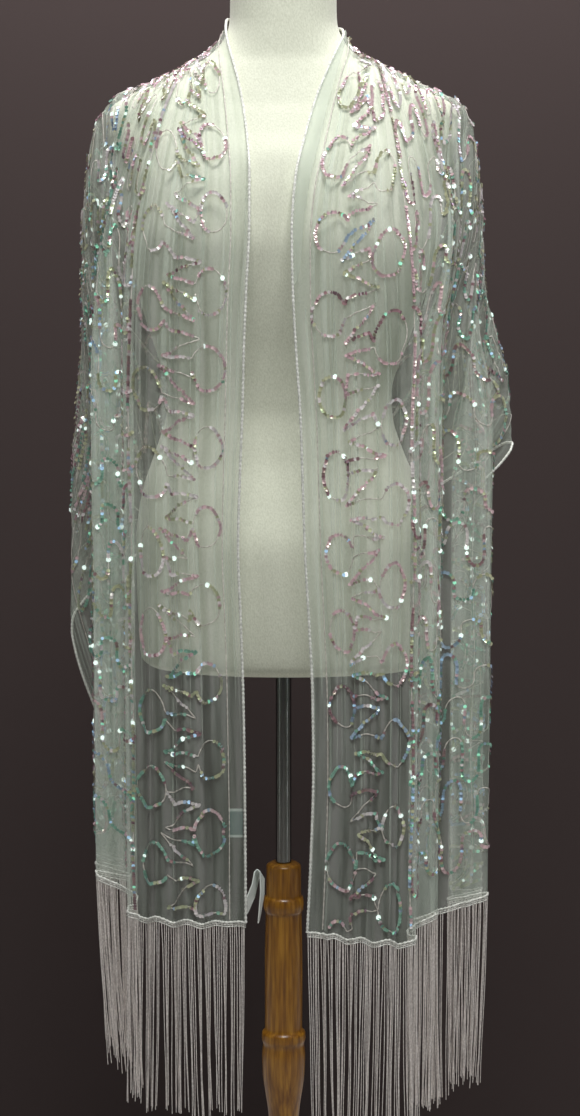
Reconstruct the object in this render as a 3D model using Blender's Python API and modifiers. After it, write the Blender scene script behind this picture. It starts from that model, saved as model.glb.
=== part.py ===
"""Evening stole of fine net, draped over the shoulders of a limbless dress form on a turned wooden stand.

Metres, +Z up. The form faces -Y, and "left" is the side at -X, as seen from the front. The origin is the
middle of the base's underside.

The stole is one long cut of net. Its width runs from the inner edge, which lies along the neck (share 0), to
the outer edge, which hangs down the back (share 1). Each line of constant share starts at the centre of the
back, turns over the shoulder, or round the side below it, and hangs down the front to the hem.
"""

import math
from bisect import bisect_right
from collections import namedtuple

import bmesh
import bpy
from mathutils import Vector
from mathutils.bvhtree import BVHTree

COLLECTION = "evening_stole"

# Cloth.
WALL = 0.0016
SEAM_GAP = 0.0005
PIECE_GAP = 0.0003
CLOTH_OFF_FORM = 0.0022
LEAST_OFF_FORM = 0.0016
SETTLING_ROUNDS = 14
FRINGE_LENGTH = 0.195
STRANDS = 80
STRAND_WIDTH = 0.0017
HEADING_HEIGHT = 0.004
HEADING_THICKNESS = 0.0018
HEADING_GAP = 0.0009

# Dress form: rings from the rounded rim to the top of the neck.
Ring = namedtuple("Ring", "height half_width front back middle")
FORM_RINGS = (
    Ring(0.7400, 0.1400, 0.0910, 0.0960, 0.004),
    Ring(0.7470, 0.1465, 0.0980, 0.1040, 0.004),
    Ring(0.8000, 0.1500, 0.1060, 0.1110, 0.004),
    Ring(0.8600, 0.1500, 0.1090, 0.1130, 0.003),
    Ring(0.9090, 0.1400, 0.0970, 0.1020, -0.001),
    Ring(0.9500, 0.1240, 0.0850, 0.0880, -0.004),
    Ring(0.9880, 0.1120, 0.0810, 0.0790, -0.004),
    Ring(1.0120, 0.1110, 0.0840, 0.0780, -0.004),
    Ring(1.0500, 0.1220, 0.0925, 0.0790, -0.003),
    Ring(1.0900, 0.1360, 0.1040, 0.0830, -0.002),
    Ring(1.1300, 0.1470, 0.1170, 0.0890, 0.0),
    Ring(1.1650, 0.1540, 0.1250, 0.0940, 0.0),
    Ring(1.2000, 0.1580, 0.1200, 0.0980, 0.0),
    Ring(1.2350, 0.1650, 0.1060, 0.0980, 0.0),
    Ring(1.2600, 0.1730, 0.0900, 0.0930, 0.0),
    Ring(1.2780, 0.1730, 0.0790, 0.0860, 0.0),
    Ring(1.2890, 0.1665, 0.0720, 0.0790, 0.0),
    Ring(1.2990, 0.1505, 0.0670, 0.0710, 0.0),
    Ring(1.3090, 0.1270, 0.0620, 0.0660, 0.0),
    Ring(1.3220, 0.1010, 0.0560, 0.0620, 0.0),
    Ring(1.3360, 0.0740, 0.0510, 0.0580, 0.0),
    Ring(1.3520, 0.0585, 0.0500, 0.0545, 0.0),
    Ring(1.3720, 0.0520, 0.0495, 0.0520, 0.0),
    Ring(1.4220, 0.0510, 0.0495, 0.0510, 0.0),
    Ring(1.4300, 0.0450, 0.0430, 0.0450, 0.0),
)
FORM_SQUARENESS = 2.2
FORM_SIDES = 36
BUST_HEIGHT = 1.165
BUST_HALF_REACH = 0.075
BUST_HOLLOW = 0.007
BUST_HOLLOW_WIDTH = 0.035

# Stand: the outline of the turned post and of its base, from the top down, as radius and height.
Turn = namedtuple("Turn", "radius height")
POLE_RADIUS = 0.008
POST_TOP = 0.533
BASE_TOP = 0.024
POST_OUTLINE = (
    Turn(0.0135, POST_TOP),
    Turn(0.0176, POST_TOP - 0.004),
    Turn(0.0178, 0.500),
    Turn(0.0200, 0.496),
    Turn(0.0209, 0.490),
    Turn(0.0200, 0.484),
    Turn(0.0183, 0.480),
    Turn(0.0192, 0.420),
    Turn(0.0190, 0.360),
    Turn(0.0222, 0.354),
    Turn(0.0225, 0.348),
    Turn(0.0212, 0.342),
    Turn(0.0222, 0.330),
    Turn(0.0215, 0.310),
    Turn(0.0160, 0.270),
    Turn(0.0140, 0.240),
    Turn(0.0165, 0.200),
    Turn(0.0225, 0.140),
    Turn(0.0250, 0.100),
    Turn(0.0225, 0.060),
    Turn(0.0270, 0.050),
    Turn(0.0280, 0.040),
    Turn(0.0260, BASE_TOP + PIECE_GAP),
)
BASE_OUTLINE = (
    Turn(0.0300, BASE_TOP),
    Turn(0.1450, 0.0190),
    Turn(0.1620, 0.0150),
    Turn(0.1680, 0.0090),
    Turn(0.1660, 0.0),
)
TURNED_STEPS = 18
BASE_STEPS = 36

# Inner edges of the two fronts: distance from the middle at each height.
Edge = namedtuple("Edge", "height left right")
INNER_EDGES = (
    Edge(0.500, 0.0355, 0.0232),
    Edge(0.600, 0.0358, 0.0276),
    Edge(0.680, 0.0366, 0.0292),
    Edge(0.770, 0.0385, 0.0262),
    Edge(0.870, 0.0424, 0.0206),
    Edge(1.000, 0.0382, 0.0158),
    Edge(1.090, 0.0358, 0.0095),
    Edge(1.160, 0.0318, 0.0074),
    Edge(1.205, 0.0308, 0.0094),
    Edge(1.242, 0.0324, 0.0172),
    Edge(1.284, 0.0379, 0.0286),
    Edge(1.322, 0.0442, 0.0433),
    Edge(1.350, 0.0515, 0.0511),
    Edge(1.378, 0.0565, 0.0565),
)

# Where each line crosses the shoulder or, from the tip on, comes round the side below it. It has settled into
# the front after falling by "settle".
Crossing = namedtuple("Crossing", "share left_out left_height left_settle right_out right_height right_settle")
CROSSINGS = (
    Crossing(0.00, 0.0560, 1.376, 0.30, 0.0560, 1.364, 0.30),
    Crossing(0.06, 0.0610, 1.359, 0.30, 0.0610, 1.354, 0.30),
    Crossing(0.14, 0.0710, 1.347, 0.30, 0.0710, 1.343, 0.30),
    Crossing(0.26, 0.0870, 1.337, 0.30, 0.0870, 1.334, 0.30),
    Crossing(0.39, 0.1150, 1.322, 0.30, 0.1150, 1.319, 0.30),
    Crossing(0.54, 0.1630, 1.306, 0.28, 0.1625, 1.305, 0.28),
    Crossing(0.58, 0.1850, 1.296, 0.27, 0.1840, 1.296, 0.27),
    Crossing(0.62, 0.1930, 1.274, 0.26, 0.1915, 1.274, 0.26),
    Crossing(0.72, 0.1975, 1.190, 0.28, 0.1950, 1.215, 0.24),
    Crossing(0.81, 0.2035, 1.080, 0.26, 0.2045, 1.130, 0.20),
    Crossing(0.90, 0.2105, 0.950, 0.23, 0.2225, 1.050, 0.15),
    Crossing(1.00, 0.2180, 0.790, 0.19, 0.2400, 0.975, 0.10),
)

# Lines up to the round share cross the shoulder, and those past its spread come round the side. A line's way
# from its crossing to the hanging front is quick at first, and even near the shoulder's tip.
ROUND_SHARE = 0.50
ROUND_SPREAD = 0.20
EVEN_SHARE = 0.42
EVEN_SPREAD = 0.18
FALL_CURVE = 2.6
DEEPENS_BY = 0.8
FOLDS_FROM = 0.35
BACK_CURVE = 2.6
FRONT_CURVE = 1.6

# Pleats of the hanging fronts, from the front fold to the outer edge: how far out each fold reaches, how far it
# lies behind the front fold, and the height of the hem there.
Pleat = namedtuple("Pleat", "share left_reach right_reach behind left_hem right_hem")
PLEATS = (
    Pleat(0.26, 0.1500, 0.1265, 0.000, 0.504, 0.481),
    Pleat(0.30, 0.1380, 0.1170, 0.011, 0.516, 0.488),
    Pleat(0.39, 0.1850, 0.1490, 0.022, 0.537, 0.500),
    Pleat(0.46, 0.1530, 0.1300, 0.033, 0.535, 0.496),
    Pleat(0.54, 0.1870, 0.1530, 0.044, 0.541, 0.493),
    Pleat(0.62, 0.1590, 0.1480, 0.055, 0.538, 0.494),
    Pleat(0.72, 0.1870, 0.2040, 0.066, 0.543, 0.508),
    Pleat(0.81, 0.1620, 0.1660, 0.078, 0.540, 0.504),
    Pleat(0.90, 0.1890, 0.2000, 0.089, 0.544, 0.506),
    Pleat(1.00, 0.1680, 0.1700, 0.100, 0.545, 0.505),
)
PLEAT_MIDDLE = {"left": 0.170, "right": 0.163}
INNER_HEM = {"left": 0.508, "right": 0.498}
FOLD_END_SHARE = 0.009
FOLD_END_DEPTH = 0.0036
FACE_SHARE = PLEATS[0].share - FOLD_END_SHARE
PLEAT_BLEND = 0.12
INNER_BLEND = 0.05

# Front face of the hanging cloth: straight down from the bust, turning back towards the front fold.
FACE_FRONT = 0.1290
FRONT_FOLD_BEHIND = 0.0410
FACE_FLAT_OUT = 0.060
FACE_TURNED_OUT = 0.150
HANG_STARTS = 1.285
HANG_FREE = 1.130
SHOULDER_FLARE = 0.010
FLARE_STARTS = 1.05
FLARE_FULL = 1.20
RIDGE_BEHIND = 0.005
CHEST_EDGE = 0.92
CHEST_FALL = 0.08
CHEST_LOW = 1.13
CHEST_HIGH = 1.19
SIDE_BEHIND = 0.020

# The back: height of each line at the centre, and how far behind the middle it lies.
BACK_TOP = 1.368
BACK_DROP = 0.496
BackFall = namedtuple("BackFall", "share behind")
BACK_FALL = (
    BackFall(0.00, 0.0585),
    BackFall(0.08, 0.0680),
    BackFall(0.16, 0.0880),
    BackFall(0.26, 0.1030),
    BackFall(0.45, 0.1090),
    BackFall(1.00, 0.1180),
)

# Gathers: soft waves across the cloth, a whole number of them up to the front fold, then one for each pleat.
FRONT_WAVES = 4
Gather = namedtuple("Gather", "fallen front pleats")
GATHERS = (
    Gather(-1.00, 0.0040, 0.0060),
    Gather(-0.45, 0.0030, 0.0045),
    Gather(0.00, 0.0020, 0.0028),
    Gather(0.10, 0.0026, 0.0020),
    Gather(0.35, 0.0030, 0.0),
    Gather(1.00, 0.0034, 0.0),
)
GATHER_BLEND = 0.05
HEM_WAVE = 0.003
HEM_EASE_INNER = 0.08
HEM_EASE_OUTER = 0.10

# Labels at the left front: the woven one lies inside the net, the care label is sewn to the inner edge. The care
# label's stations are measured from its sewn end, with its width as a vector.
LABEL_THICKNESS = 0.001
WOVEN_LABEL_X = -0.0458
WOVEN_LABEL_Z = 0.604
WOVEN_LABEL_WIDTH = 0.0135
WOVEN_LABEL_LENGTH = 0.028
CARE_LABEL_HEIGHT = 0.525
Leaf = namedtuple("Leaf", "out behind rise wide_x wide_y wide_z")
CARE_LABEL = (
    Leaf(0.0, 0.0, 0.0, 0.0, 0.004, -0.018),
    Leaf(0.0060, 0.0060, 0.0130, 0.002, 0.010, -0.016),
    Leaf(0.0090, 0.0130, 0.0260, 0.004, 0.014, -0.011),
    Leaf(0.0115, 0.0135, 0.0285, 0.004, 0.014, -0.011),
    Leaf(0.0144, 0.0125, 0.0265, 0.004, 0.014, -0.011),
    Leaf(0.0144, 0.0125, 0.0080, 0.003, 0.015, -0.008),
    Leaf(0.0110, 0.0135, -0.0200, 0.001, 0.018, -0.002),
)

# Cells of the walls.
CELLS_TO_FOLD = 16
WIDE_LAYER = 0.05
FRONT_ROWS = 17
ROW_CURVE = 1.45
BACK_ROWS = 8
LINE_STEPS = 64
CORNER_REACH = 14
CORNER_ROUNDS = 14
EASE_REACH = 3
EASE_ROUNDS = 4
MOST_MITRE = 1.4

MATERIALS = {
    "net": ((0.74, 0.76, 0.68), 0.7, 0.0),
    "fringe": ((0.72, 0.66, 0.62), 0.45, 0.0),
    "label": ((0.85, 0.85, 0.82), 0.6, 0.0),
    "jersey": ((0.80, 0.82, 0.76), 0.85, 0.0),
    "chrome": ((0.70, 0.70, 0.70), 0.12, 1.0),
    "wood": ((0.42, 0.22, 0.08), 0.4, 0.0),
}


def lerp(start, end, part):
    return start + (end - start) * part


def smooth_step(part):
    part = min(max(part, 0.0), 1.0)
    return part * part * (3 - 2 * part)


def read(table, column, key):
    """A column of a table at a key of its first column, on a smooth curve that never overshoots its rows."""
    keys = [row[0] for row in table]
    values = [getattr(row, column) for row in table]
    if key <= keys[0]:
        return values[0]
    if key >= keys[-1]:
        return values[-1]
    slopes = [(values[i + 1] - values[i]) / (keys[i + 1] - keys[i]) for i in range(len(keys) - 1)]
    tangents = [slopes[0]]
    for before, after in zip(slopes, slopes[1:]):
        steady = before * after > 0
        tangents.append(2 * before * after / (before + after) if steady else 0.0)
    tangents.append(slopes[-1])
    i = bisect_right(keys, key) - 1
    span = keys[i + 1] - keys[i]
    t = (key - keys[i]) / span
    return (
        values[i] * (1 + 2 * t) * (1 - t) ** 2
        + tangents[i] * span * t * (1 - t) ** 2
        + values[i + 1] * t * t * (3 - 2 * t)
        + tangents[i + 1] * span * t * t * (t - 1)
    )


def read_straight(knots, key):
    """The value at a key on straight runs between (key, value) knots."""
    if key <= knots[0][0]:
        return knots[0][1]
    for (k0, v0), (k1, v1) in zip(knots, knots[1:]):
        if key <= k1:
            return lerp(v0, v1, (key - k0) / (k1 - k0))
    return knots[-1][1]


def make_material(name):
    color, roughness, metallic = MATERIALS[name]
    material = bpy.data.materials.new(name)
    material.use_nodes = True
    shader = material.node_tree.nodes["Principled BSDF"]
    shader.inputs["Base Color"].default_value = (*color, 1.0)
    shader.inputs["Roughness"].default_value = roughness
    shader.inputs["Metallic"].default_value = metallic
    material.diffuse_color = (*color, 1.0)
    return material


def add_object(name, mesh, material, collection):
    mesh.materials.append(material)
    obj = bpy.data.objects.new(name, mesh)
    collection.objects.link(obj)
    return obj


def smooth_shading(mesh):
    mesh.shade_smooth()
    mesh.set_sharp_from_angle(angle=math.radians(50))


# Dress form.


def form_point(ring, angle):
    """A point of one ring: flattened sides, its own depth in front and behind, and a soft hollow at the bust."""
    across = math.cos(angle)
    along = math.sin(angle)
    power = 2 / FORM_SQUARENESS
    x = ring.half_width * math.copysign(abs(across) ** power, across)
    depth = ring.back if along > 0 else ring.front
    y = depth * math.copysign(abs(along) ** power, along)
    if along < 0:
        near_bust = 1 - abs(ring.height - BUST_HEIGHT) / BUST_HALF_REACH
        hollow = BUST_HOLLOW * smooth_step(near_bust) * math.exp(-((x / BUST_HOLLOW_WIDTH) ** 2))
        y += hollow * abs(along)
    return Vector((x + ring.middle, y, ring.height))


def make_form(collection, material):
    """The torso and neck: a loft through unlike rings, closed flat below and at the top."""
    mesh = bpy.data.meshes.new("dress_form")
    bm = bmesh.new()
    rings = []
    for ring in FORM_RINGS:
        angles = [2 * math.pi * i / FORM_SIDES for i in range(FORM_SIDES)]
        rings.append([bm.verts.new(form_point(ring, angle)) for angle in angles])
    for low, high in zip(rings, rings[1:]):
        for i in range(FORM_SIDES):
            j = (i + 1) % FORM_SIDES
            bm.faces.new((low[i], low[j], high[j], high[i]))
    bm.faces.new(reversed(rings[0]))
    bm.faces.new(rings[-1])
    bmesh.ops.recalc_face_normals(bm, faces=bm.faces)
    bm.to_mesh(mesh)
    bm.free()
    smooth_shading(mesh)
    return add_object("dress_form", mesh, material, collection)


# Stand.


def make_turned(name, outline, steps, collection, material):
    """A turned piece: its outline from the top down, spun round the upright axis and closed at both ends."""
    points = [(0.0, 0.0, outline[0].height)]
    points += [(turn.radius, 0.0, turn.height) for turn in outline]
    points.append((0.0, 0.0, outline[-1].height))
    mesh = bpy.data.meshes.new(name)
    edges = [(i, i + 1) for i in range(len(points) - 1)]
    mesh.from_pydata(points, edges, [])
    obj = add_object(name, mesh, material, collection)
    screw = obj.modifiers.new("Turn", "SCREW")
    screw.axis = "Z"
    screw.steps = steps
    screw.render_steps = steps
    screw.use_merge_vertices = True
    screw.merge_threshold = 0.00005
    screw.use_smooth_shade = True
    return obj


def make_stand(collection, wood, chrome):
    make_turned("stand_base", BASE_OUTLINE, BASE_STEPS, collection, wood)
    make_turned("stand_post", POST_OUTLINE, TURNED_STEPS, collection, wood)
    pole_low = POST_TOP + PIECE_GAP
    pole_high = FORM_RINGS[0].height - PIECE_GAP
    bpy.ops.mesh.primitive_cylinder_add(
        vertices=TURNED_STEPS,
        radius=POLE_RADIUS,
        depth=pole_high - pole_low,
        location=(0.0, 0.0, (pole_high + pole_low) / 2),
    )
    pole = bpy.context.object
    pole.name = "stand_pole"
    pole.data.materials.append(chrome)
    smooth_shading(pole.data)
    for user in list(pole.users_collection):
        user.objects.unlink(pole)
    collection.objects.link(pole)


# Stole: one line of constant share.


def form_depth(out, height, face):
    """How far in front of the middle, or behind it, the cloth clears the form's surface."""
    half_width = read(FORM_RINGS, "half_width", height) + CLOTH_OFF_FORM
    depth = read(FORM_RINGS, face, height) + CLOTH_OFF_FORM
    ratio = min(abs(out) / half_width, 1.0)
    return depth * (1 - ratio**FORM_SQUARENESS) ** (1 / FORM_SQUARENESS)


def pleat_knots(column, step):
    """Knots across the pleats: each fold is a short end, a step deep, between two straight layers."""
    knots = []
    for pleat in PLEATS[:-1]:
        value = getattr(pleat, column)
        knots.append((pleat.share - FOLD_END_SHARE, value - step))
        knots.append((pleat.share + FOLD_END_SHARE, value + step))
    knots.append((PLEATS[-1].share, getattr(PLEATS[-1], column)))
    return knots


def face_behind(out):
    """How far behind its foremost plane the hanging front face lies."""
    turned = max(out - FACE_FLAT_OUT, 0.0) / (FACE_TURNED_OUT - FACE_FLAT_OUT)
    return FRONT_FOLD_BEHIND * turned**2


def round_part(share):
    """0 for a line that crosses the shoulder, 1 for one that comes round the side below it."""
    return smooth_step((share - ROUND_SHARE) / ROUND_SPREAD)


def hang_point(side, share, height, fallen):
    """(out, y) of a line in the hanging front, where it has fallen so far below its crossing."""
    crossing_out = read(CROSSINGS, side + "_out", share)
    settle = read(CROSSINGS, side + "_settle", share)
    fold_reach = getattr(PLEATS[0], side + "_reach")
    flare = SHOULDER_FLARE * smooth_step((height - FLARE_STARTS) / (FLARE_FULL - FLARE_STARTS))
    beyond = smooth_step((share - FACE_SHARE) / PLEAT_BLEND)
    middle = lerp(fold_reach, PLEAT_MIDDLE[side] + flare, beyond)
    middle = lerp(read(INNER_EDGES, side, height), middle, min(share / FACE_SHARE, 1.0))
    near_tip = smooth_step((share - EVEN_SHARE) / EVEN_SPREAD)
    eased = 1 - (1 - min(fallen / settle, 1.0)) ** FALL_CURVE
    spread = lerp(eased, smooth_step(fallen / settle), near_tip)
    out = lerp(crossing_out, middle, spread)
    out = lerp(out, middle, smooth_step(1 - share / INNER_BLEND))
    deepened = 1 - (1 - min(fallen / (DEEPENS_BY * settle), 1.0)) ** 2
    folded = smooth_step((fallen / settle - FOLDS_FROM) / (1 - FOLDS_FROM))
    behind = face_behind(min(middle, fold_reach))
    if share > FACE_SHARE:
        reach = read_straight(pleat_knots(side + "_reach", 0.0), share)
        out += (reach - PLEAT_MIDDLE[side]) * folded * beyond
        behind += FOLD_END_DEPTH + read_straight(pleat_knots("behind", FOLD_END_DEPTH), share)
    y_hang = -FACE_FRONT + behind
    on_chest = smooth_step(fallen / CHEST_FALL) * smooth_step((height - CHEST_LOW) / (CHEST_HIGH - CHEST_LOW))
    chest_edge = lerp(1.0, CHEST_EDGE, on_chest) * read(FORM_RINGS, "half_width", height)
    on_form = RIDGE_BEHIND - form_depth(min(out, chest_edge), height, "front")
    hanging = smooth_step((HANG_STARTS - height) / (HANG_STARTS - HANG_FREE))
    y_over = min(lerp(on_form, y_hang, hanging), on_form)
    y_round = lerp(SIDE_BEHIND, y_hang, deepened)
    return out, lerp(y_over, y_round, round_part(share))


def hem_height(side, share):
    if share <= FACE_SHARE:
        part = share / FACE_SHARE
        level = lerp(INNER_HEM[side], getattr(PLEATS[0], side + "_hem"), part)
    else:
        level = read_straight([(pleat.share, getattr(pleat, side + "_hem")) for pleat in PLEATS], share)
    eased = smooth_step(share / HEM_EASE_INNER) * smooth_step((1 - share) / HEM_EASE_OUTER)
    return level + HEM_WAVE * gather_wave(share) * eased


def gather_wave(share):
    """-1 in a trough, 1 on a crest."""
    if share <= PLEATS[0].share:
        return math.cos(2 * math.pi * FRONT_WAVES * min(share / FACE_SHARE, 1.0))
    for index, (low, high) in enumerate(zip(PLEATS, PLEATS[1:])):
        if share <= high.share:
            part = (share - low.share) / (high.share - low.share)
            sign = 1 if index % 2 == 0 else -1
            return sign * math.cos(math.pi * part)
    return -1.0


def resample(points, count):
    """The same route as count + 1 points at equal distances."""
    lengths = [0.0]
    for a, b in zip(points, points[1:]):
        lengths.append(lengths[-1] + (b - a).length)
    result = []
    i = 0
    for step in range(count + 1):
        target = lengths[-1] * step / count
        while i < len(points) - 2 and lengths[i + 1] < target:
            i += 1
        span = lengths[i + 1] - lengths[i]
        result.append(points[i].lerp(points[i + 1], (target - lengths[i]) / span if span else 0.0))
    return result


def stole_line(side, share):
    """The line's two stretches as equally spaced points: centre back to crossing, and crossing to hem."""
    sign = -1 if side == "left" else 1
    out = read(CROSSINGS, side + "_out", share)
    top = read(CROSSINGS, side + "_height", share)
    back_height = BACK_TOP - BACK_DROP * share
    behind = read(BACK_FALL, "behind", share)
    round_side = round_part(share)
    turn_behind = lerp(RIDGE_BEHIND, SIDE_BEHIND, round_side)
    back = []
    for i in range(LINE_STEPS + 1):
        turn = math.pi / 2 * i / LINE_STEPS
        x = sign * out * math.sin(turn)
        y = turn_behind + (behind - turn_behind) * math.cos(turn)
        height = lerp(back_height, top, math.sin(turn) ** BACK_CURVE)
        back.append(Vector((x, max(y, form_depth(x, height, "back")), height)))
    hem = hem_height(side, share)
    front = []
    for i in range(LINE_STEPS + 1):
        fallen = (top - hem) * (i / LINE_STEPS) ** FRONT_CURVE
        x, y = hang_point(side, share, top - fallen, fallen)
        front.append(Vector((sign * x, y, top - fallen)))
    back = resample(back, LINE_STEPS)
    front = resample(front, LINE_STEPS * 3)
    whole = back + front[1:]
    low = LINE_STEPS - CORNER_REACH
    high = LINE_STEPS + CORNER_REACH
    for _ in range(CORNER_ROUNDS):
        for i in range(low, high):
            middle = (whole[i - 1] + whole[i + 1]) / 2
            whole[i] = whole[i].lerp(middle, 0.5 * round_side)
    return resample(whole[: LINE_STEPS + 1], LINE_STEPS), resample(whole[LINE_STEPS:], LINE_STEPS * 2)


def along_line(points, part):
    """The point at a part of a line's length, from its equally spaced points."""
    place = min(max(part, 0.0), 1.0) * (len(points) - 1)
    i = min(int(place), len(points) - 2)
    return points[i].lerp(points[i + 1], place - i)


def cloth_shares():
    """Shares of the mesh lines: even up to the front fold, then the middle of each layer and its fold's corners."""
    shares = [FACE_SHARE * i / CELLS_TO_FOLD for i in range(CELLS_TO_FOLD)]
    for pleat, after in zip(PLEATS, PLEATS[1:]):
        shares += [pleat.share - FOLD_END_SHARE, pleat.share + FOLD_END_SHARE]
        if after.share - pleat.share > WIDE_LAYER:
            shares.append((pleat.share + after.share) / 2)
    return shares + [PLEATS[-1].share]


def cloth_columns():
    """Places along the cloth, from the left hem to the right one: side, stretch and part of its length."""
    front = [(j / FRONT_ROWS) ** ROW_CURVE for j in range(1, FRONT_ROWS + 1)]
    back = [j / BACK_ROWS for j in range(BACK_ROWS + 1)]
    columns = [("left", "front", part) for part in reversed(front)]
    columns += [("left", "back", part) for part in reversed(back)]
    columns += [("right", "back", part) for part in back[1:]]
    columns += [("right", "front", part) for part in front]
    return columns


def lay_lines(shares, columns):
    """The cloth as a grid of points, before its gathers: a line for each share, a point for each column."""
    grid = []
    for share in shares:
        stretches = {}
        for side in ("left", "right"):
            stretches[side, "back"], stretches[side, "front"] = stole_line(side, share)
        grid.append([along_line(stretches[side, stretch], part) for side, stretch, part in columns])
    return grid


def raise_gathers(grid, shares, columns):
    """Moves each point out along its normal by the gather there."""
    raised = []
    for i, line in enumerate(grid):
        row = []
        for j, point in enumerate(line):
            across = grid[min(i + 1, len(grid) - 1)][j] - grid[max(i - 1, 0)][j]
            along = line[min(j + 1, len(line) - 1)] - line[max(j - 1, 0)]
            normal = along.cross(across).normalized()
            _, stretch, part = columns[j]
            fallen = part if stretch == "front" else part - 1
            front = read(GATHERS, "front", fallen)
            pleats = read(GATHERS, "pleats", fallen)
            blend = smooth_step((shares[i] - PLEATS[0].share) / GATHER_BLEND)
            row.append(point + normal * lerp(front, pleats, blend) * gather_wave(shares[i]))
        raised.append(row)
    return raised


def ease_shoulders(grid, shares):
    """Softens the cloth where it turns from the back to the front."""
    last = len(grid[0]) - 1
    for crossing in (FRONT_ROWS, last - FRONT_ROWS):
        for _ in range(EASE_ROUNDS):
            for i in range(len(grid)):
                for j in range(crossing - EASE_REACH, crossing + EASE_REACH + 1):
                    near = 1 - abs(j - crossing) / (EASE_REACH + 1)
                    mean = (grid[i][j - 1] + grid[i][j + 1]) / 2
                    if 0 < i < len(grid) - 1:
                        part = (shares[i] - shares[i - 1]) / (shares[i + 1] - shares[i - 1])
                        mean = (mean + grid[i - 1][j].lerp(grid[i + 1][j], part)) / 2
                    grid[i][j] = grid[i][j].lerp(mean, 0.5 * near)


def push_clear(grid, corners, spot, tree, least):
    """Where a spot of the cloth is too near the form, moves the corners that carry it out by what is missing."""
    near, normal, _, _ = tree.find_nearest(spot)
    missing = least - (spot - near).dot(normal)
    if missing > 0:
        for i, j in corners:
            grid[i][j] = grid[i][j] + normal * missing


def settle_on_form(grid, tree):
    """Lays the cloth on the form: every corner, edge and cell of the grid ends up clear of it."""
    for line in grid:
        for j, point in enumerate(line):
            near, normal, _, _ = tree.find_nearest(point)
            if (point - near).dot(normal) < CLOTH_OFF_FORM:
                line[j] = near + normal * CLOTH_OFF_FORM
    for _ in range(SETTLING_ROUNDS):
        for i in range(len(grid) - 1):
            for j in range(len(grid[0]) - 1):
                a, b, c, d = (i, j), (i + 1, j), (i + 1, j + 1), (i, j + 1)
                for ends in ((a, b), (b, c), (c, d), (d, a), (a, c), (b, d)):
                    start = grid[ends[0][0]][ends[0][1]]
                    end = grid[ends[1][0]][ends[1][1]]
                    for part in (0.25, 0.5, 0.75):
                        push_clear(grid, ends, start.lerp(end, part), tree, LEAST_OFF_FORM)


def wall_offsets(grid):
    """For each point of the grid, the way from the middle of the wall to its face, shared by both sides of a seam."""
    cells = []
    for line, after in zip(grid, grid[1:]):
        cells.append([])
        for j in range(len(line) - 1):
            normal = (line[j + 1] - after[j]).cross(after[j + 1] - line[j])
            cells[-1].append(normal.normalized())
    offsets = []
    for i in range(len(grid)):
        row = []
        for j in range(len(grid[0])):
            around = [
                cells[m][n]
                for m in (i - 1, i)
                for n in (j - 1, j)
                if 0 <= m < len(cells) and 0 <= n < len(cells[0])
            ]
            normal = sum(around, Vector()).normalized()
            spread = sum(normal.dot(cell) for cell in around) / len(around)
            row.append(normal * WALL / 2 * min(1 / max(spread, 0.1), MOST_MITRE))
        offsets.append(row)
    return offsets


def make_wall(name, grid, offsets, low, high, collection, material):
    """One stretch of the cloth, from column low to column high: two faces an even wall apart, closed at the rims."""
    columns = range(low, high + 1)
    rows = len(columns)
    faces_apart = len(grid) * rows
    bm = bmesh.new()
    for way in (1, -1):
        for line, row in zip(grid, offsets):
            for j in columns:
                point = line[j]
                if j == low and low > 0:
                    point = point + (line[j + 1] - point).normalized() * SEAM_GAP / 2
                if j == high and high < len(line) - 1:
                    point = point + (line[j - 1] - point).normalized() * SEAM_GAP / 2
                bm.verts.new(point + row[j] * way)
    bm.verts.ensure_lookup_table()
    points = bm.verts
    for i in range(len(grid) - 1):
        for j in range(rows - 1):
            cell = [i * rows + j, i * rows + j + 1, (i + 1) * rows + j + 1, (i + 1) * rows + j]
            one_way = (grid[i][low + j] - grid[i + 1][low + j + 1]).length
            other_way = (grid[i][low + j + 1] - grid[i + 1][low + j]).length
            if other_way < one_way:
                cell = cell[1:] + cell[:1]
            for corners in ((cell[0], cell[1], cell[2]), (cell[0], cell[2], cell[3])):
                bm.faces.new([points[k] for k in corners])
                bm.faces.new([points[k + faces_apart] for k in reversed(corners)])
    ends = [(i * rows + j, (i + 1) * rows + j) for i in range(len(grid) - 1) for j in (0, rows - 1)]
    ends += [(i * rows + j, i * rows + j + 1) for j in range(rows - 1) for i in (0, len(grid) - 1)]
    for a, b in ends:
        bm.faces.new([points[k] for k in (a, b, b + faces_apart, a + faces_apart)])
    bmesh.ops.recalc_face_normals(bm, faces=bm.faces)
    mesh = bpy.data.meshes.new(name)
    bm.to_mesh(mesh)
    bm.free()
    smooth_shading(mesh)
    return add_object(name, mesh, material, collection)


def make_stole(tree, collection, material):
    """The whole cloth, cut into its three stretches. Returns the grid and the left stretch."""
    shares = cloth_shares()
    columns = cloth_columns()
    grid = raise_gathers(lay_lines(shares, columns), shares, columns)
    ease_shoulders(grid, shares)
    settle_on_form(grid, tree)
    offsets = wall_offsets(grid)
    last = len(columns) - 1
    back = last - FRONT_ROWS
    left = make_wall("stole_left", grid, offsets, 0, FRONT_ROWS, collection, material)
    make_wall("stole_back", grid, offsets, FRONT_ROWS, back, collection, material)
    make_wall("stole_right", grid, offsets, back, last, collection, material)
    return grid, left


# Fringe.


def strand_places(points):
    """Places along the hem, both edges of each strand's root and the two ends."""
    fine = resample(points, STRANDS * 20)
    length = (len(fine) - 1) * (fine[1] - fine[0]).length
    pitch = length / STRANDS
    places = [0.0]
    for i in range(STRANDS):
        middle = (i + 0.5) * pitch
        places += [middle - STRAND_WIDTH / 2, middle + STRAND_WIDTH / 2]
    places.append(length)
    return [along_line(fine, place / length) for place in places]


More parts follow.
